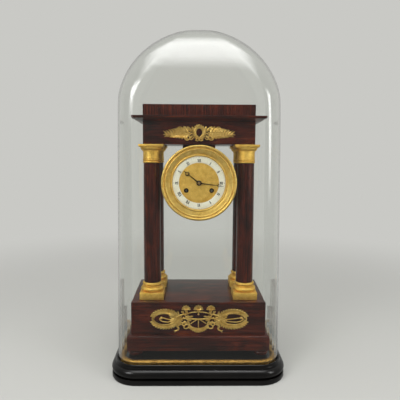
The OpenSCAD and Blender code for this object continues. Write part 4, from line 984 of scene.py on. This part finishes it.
def numerals():
    """The hours and the minute dots, painted on the chapter ring."""
    parts, height, foot, dot_circle, dot_z = [], 5.7, 39.6 * MM, 48.2 * MM, -0.16 * MM
    for hour, text in enumerate("I II III IV V VI VII VIII IX X XI XII".split(), 1):
        one = join("numeral", numeral(text, height))
        one.location.y = foot
        settle()
        one.rotation_euler.z = -math.radians(30 * hour)
        parts.append(one)
    for minute in range(60):
        x, y = dot_circle * sin(6 * minute), dot_circle * cos(6 * minute)
        dot = start("dot", bpy.ops.mesh.primitive_cylinder_add, vertices=10, depth=PAINT_T,
                    radius=(0.75 if minute % 5 == 0 else 0.42) * MM, location=(x, y, dot_z))
        with editing(dot):
            pick(dot, lambda p: p.z > dot_z)
            draw_in((0.85, 0.85, 1), (x, y, 0))
        parts.append(dot)
    piece = join("painted_numerals", parts)
    piece.rotation_euler.x = math.radians(90)
    piece.location = dial + Vector((0, plate_back - (ring_t - 0.1) * MM, 0))
    settle()
    done(piece, NUMERAL_BLACK)


numerals()
done(from_node("hour_hand", 0.15 * MM), BLUED, ["hour_hand"], body="hour")
done(from_node("minute_hand", 0.15 * MM), BLUED, ["minute_hand"], body="minute_arbor")
done(from_node("back_cap", 0.15 * MM), GILT_TURNED, ["back_cap"], body="back_cap")

# CAD nodes that show as they are

for material, nodes in (
        (BRASS, "drum_case back_ring front_plate back_plate pillars going_barrel strike_barrel hand_collet "
                "suspension_cock intermediate_wheel centre_wheel minute_wheel hour_wheel"),
        # the clicks take a near-black steel as painted shade in the winding holes
        (STEEL, "straps strap_screws hand_pin verge hammer"), (RATCHET_SHADE_STEEL, "clicks"), (BELL_METAL, "bell"),
        (WINDING_STEEL, "going_winding_arbor strike_winding_arbor")):
    for node in nodes.split():
        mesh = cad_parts[node].data
        mesh.materials.clear()
        mesh.materials.append(material)

# Floor, light and camera

PALE = colour("C9C9C5")


def seen_rays(tree):
    """1 for what the camera sees straight, in metal or through glass, and 0 for what lights the object."""
    path = add_node(tree, "LightPath").outputs
    seen = add_node(tree, "Math", {0: path["Is Camera Ray"], 1: path["Is Glossy Ray"]}, operation="MAXIMUM")
    return add_node(tree, "Math", {0: seen, 1: path["Is Transmission Ray"]}, operation="MAXIMUM")


def mirror_rays(tree):
    """1 for what metal, varnish or a face of the glass mirrors."""
    bounces = add_node(tree, "LightPath").outputs["Glossy Depth"]
    return add_node(tree, "Math", {0: bounces, 1: 1.0}, operation="MINIMUM")


def studio_glow(tree, along_y):
    """How bright the backdrop looks: 1 straight or through glass, while a mirror shows a room that is pale
    at the back and dim in front of the clock."""
    room = add_node(tree, "MapRange", {"Value": along_y, "From Min": -0.4, "From Max": 0.4, "To Min": 0.3,
                                       "To Max": 0.8}, interpolation_type="SMOOTHSTEP")
    return add_node(tree, "Mix", {0: mirror_rays(tree), 2: 1.0, 3: room})


# The floor takes the object's shadow near it and runs out into the backdrop's tone further away. A mirror
# shows it plain, in the room's own tone
floor_material, tree, shader, place = new_material("pale_floor", Base_Color=PALE, Roughness=0.9)
away = add_node(tree, "VectorMath", {0: place}, operation="LENGTH").outputs["Value"]
fade = add_node(tree, "MapRange", {"Value": away, "From Min": 0.3, "From Max": 1.6, "To Min": 0.12},
                interpolation_type="SMOOTHSTEP")
flat = add_node(tree, "Math", {0: fade, 1: mirror_rays(tree)}, operation="MAXIMUM")
share = add_node(tree, "Math", {0: flat, 1: seen_rays(tree)}, operation="MULTIPLY")
glow = studio_glow(tree, add_node(tree, "SeparateXYZ", {"Vector": place}).outputs["Y"])
paper = add_node(tree, "Emission", {"Color": PALE, "Strength": glow})
both = add_node(tree, "MixShader", {0: share, 1: shader, 2: paper})
feed(tree, tree.nodes["surface"], {"Surface": both})
floor = start("floor", bpy.ops.mesh.primitive_plane_add, size=16, location=(0, 0, 0))
floor.data.materials.append(floor_material)

world = bpy.data.worlds.new("studio")
bpy.context.scene.world = world
world.use_nodes = True
tree = world.node_tree
tree.nodes.clear()
direction = add_node(tree, "SeparateXYZ", {"Vector": add_node(tree, "TexCoord").outputs["Generated"]})
glow = studio_glow(tree, direction.outputs["Y"])
strength = add_node(tree, "Mix", {0: seen_rays(tree), 2: 0.5, 3: glow})
sky = add_node(tree, "Background", {"Color": PALE, "Strength": strength})
add_node(tree, "OutputWorld", {"Surface": sky})

AIM = Vector((0, 0, 0.3))


def soft_edge(lamp):
    """Lets a lamp's light fade towards its edges, as through a diffuser."""
    lamp.use_nodes = True
    tree = lamp.node_tree
    tree.nodes.clear()
    across = add_node(tree, "NewGeometry").outputs["Parametric"]
    off = add_node(tree, "VectorMath", {0: across, 1: (0.5, 0.5, 0)}, operation="SUBTRACT")
    away = add_node(tree, "VectorMath", {0: off}, operation="ABSOLUTE")
    side = add_node(tree, "SeparateXYZ", {"Vector": away}).outputs
    edge = add_node(tree, "Math", {0: side["X"], 1: side["Y"]}, operation="MAXIMUM")
    glow = add_node(tree, "MapRange", {"Value": edge, "From Min": 0.5, "From Max": 0.1},
                    interpolation_type="SMOOTHSTEP")
    shine = add_node(tree, "Emission", {"Strength": glow})
    add_node(tree, "OutputLight", {"Surface": shine})


for name, spot, width, height, power in (
        ("key_window", (-1.1, -1.2, 1.2), 0.9, 1.3, 34),
        ("fill_window", (1.3, -0.9, 0.8), 0.5, 1.4, 17),
        ("top_window", (0.0, -0.35, 1.75), 2.1, 1.6, 46)):
    toward = AIM - Vector(spot)
    bpy.ops.object.light_add(type="AREA", location=spot, rotation=toward.to_track_quat("-Z", "Y").to_euler())
    lamp = bpy.context.object
    lamp.name = name
    lamp.data.shape = "RECTANGLE"
    lamp.data.size, lamp.data.size_y, lamp.data.energy = width, height, power
    soft_edge(lamp.data)

# The camera stands where the photograph was taken from, on the clock's axis and a little below its top
CAMERA_PLACE = (-8.85 * MM, -845.42 * MM, 417.54 * MM)
CAMERA_TURN = (84.35, -0.2985, -0.7705)
bpy.ops.object.camera_add(location=CAMERA_PLACE, rotation=[math.radians(a) for a in CAMERA_TURN])
camera = bpy.context.object
camera.data.lens = 37.02
camera.data.clip_start = 0.02
bpy.context.scene.camera = camera
bpy.context.scene.view_settings.view_transform = "Standard"
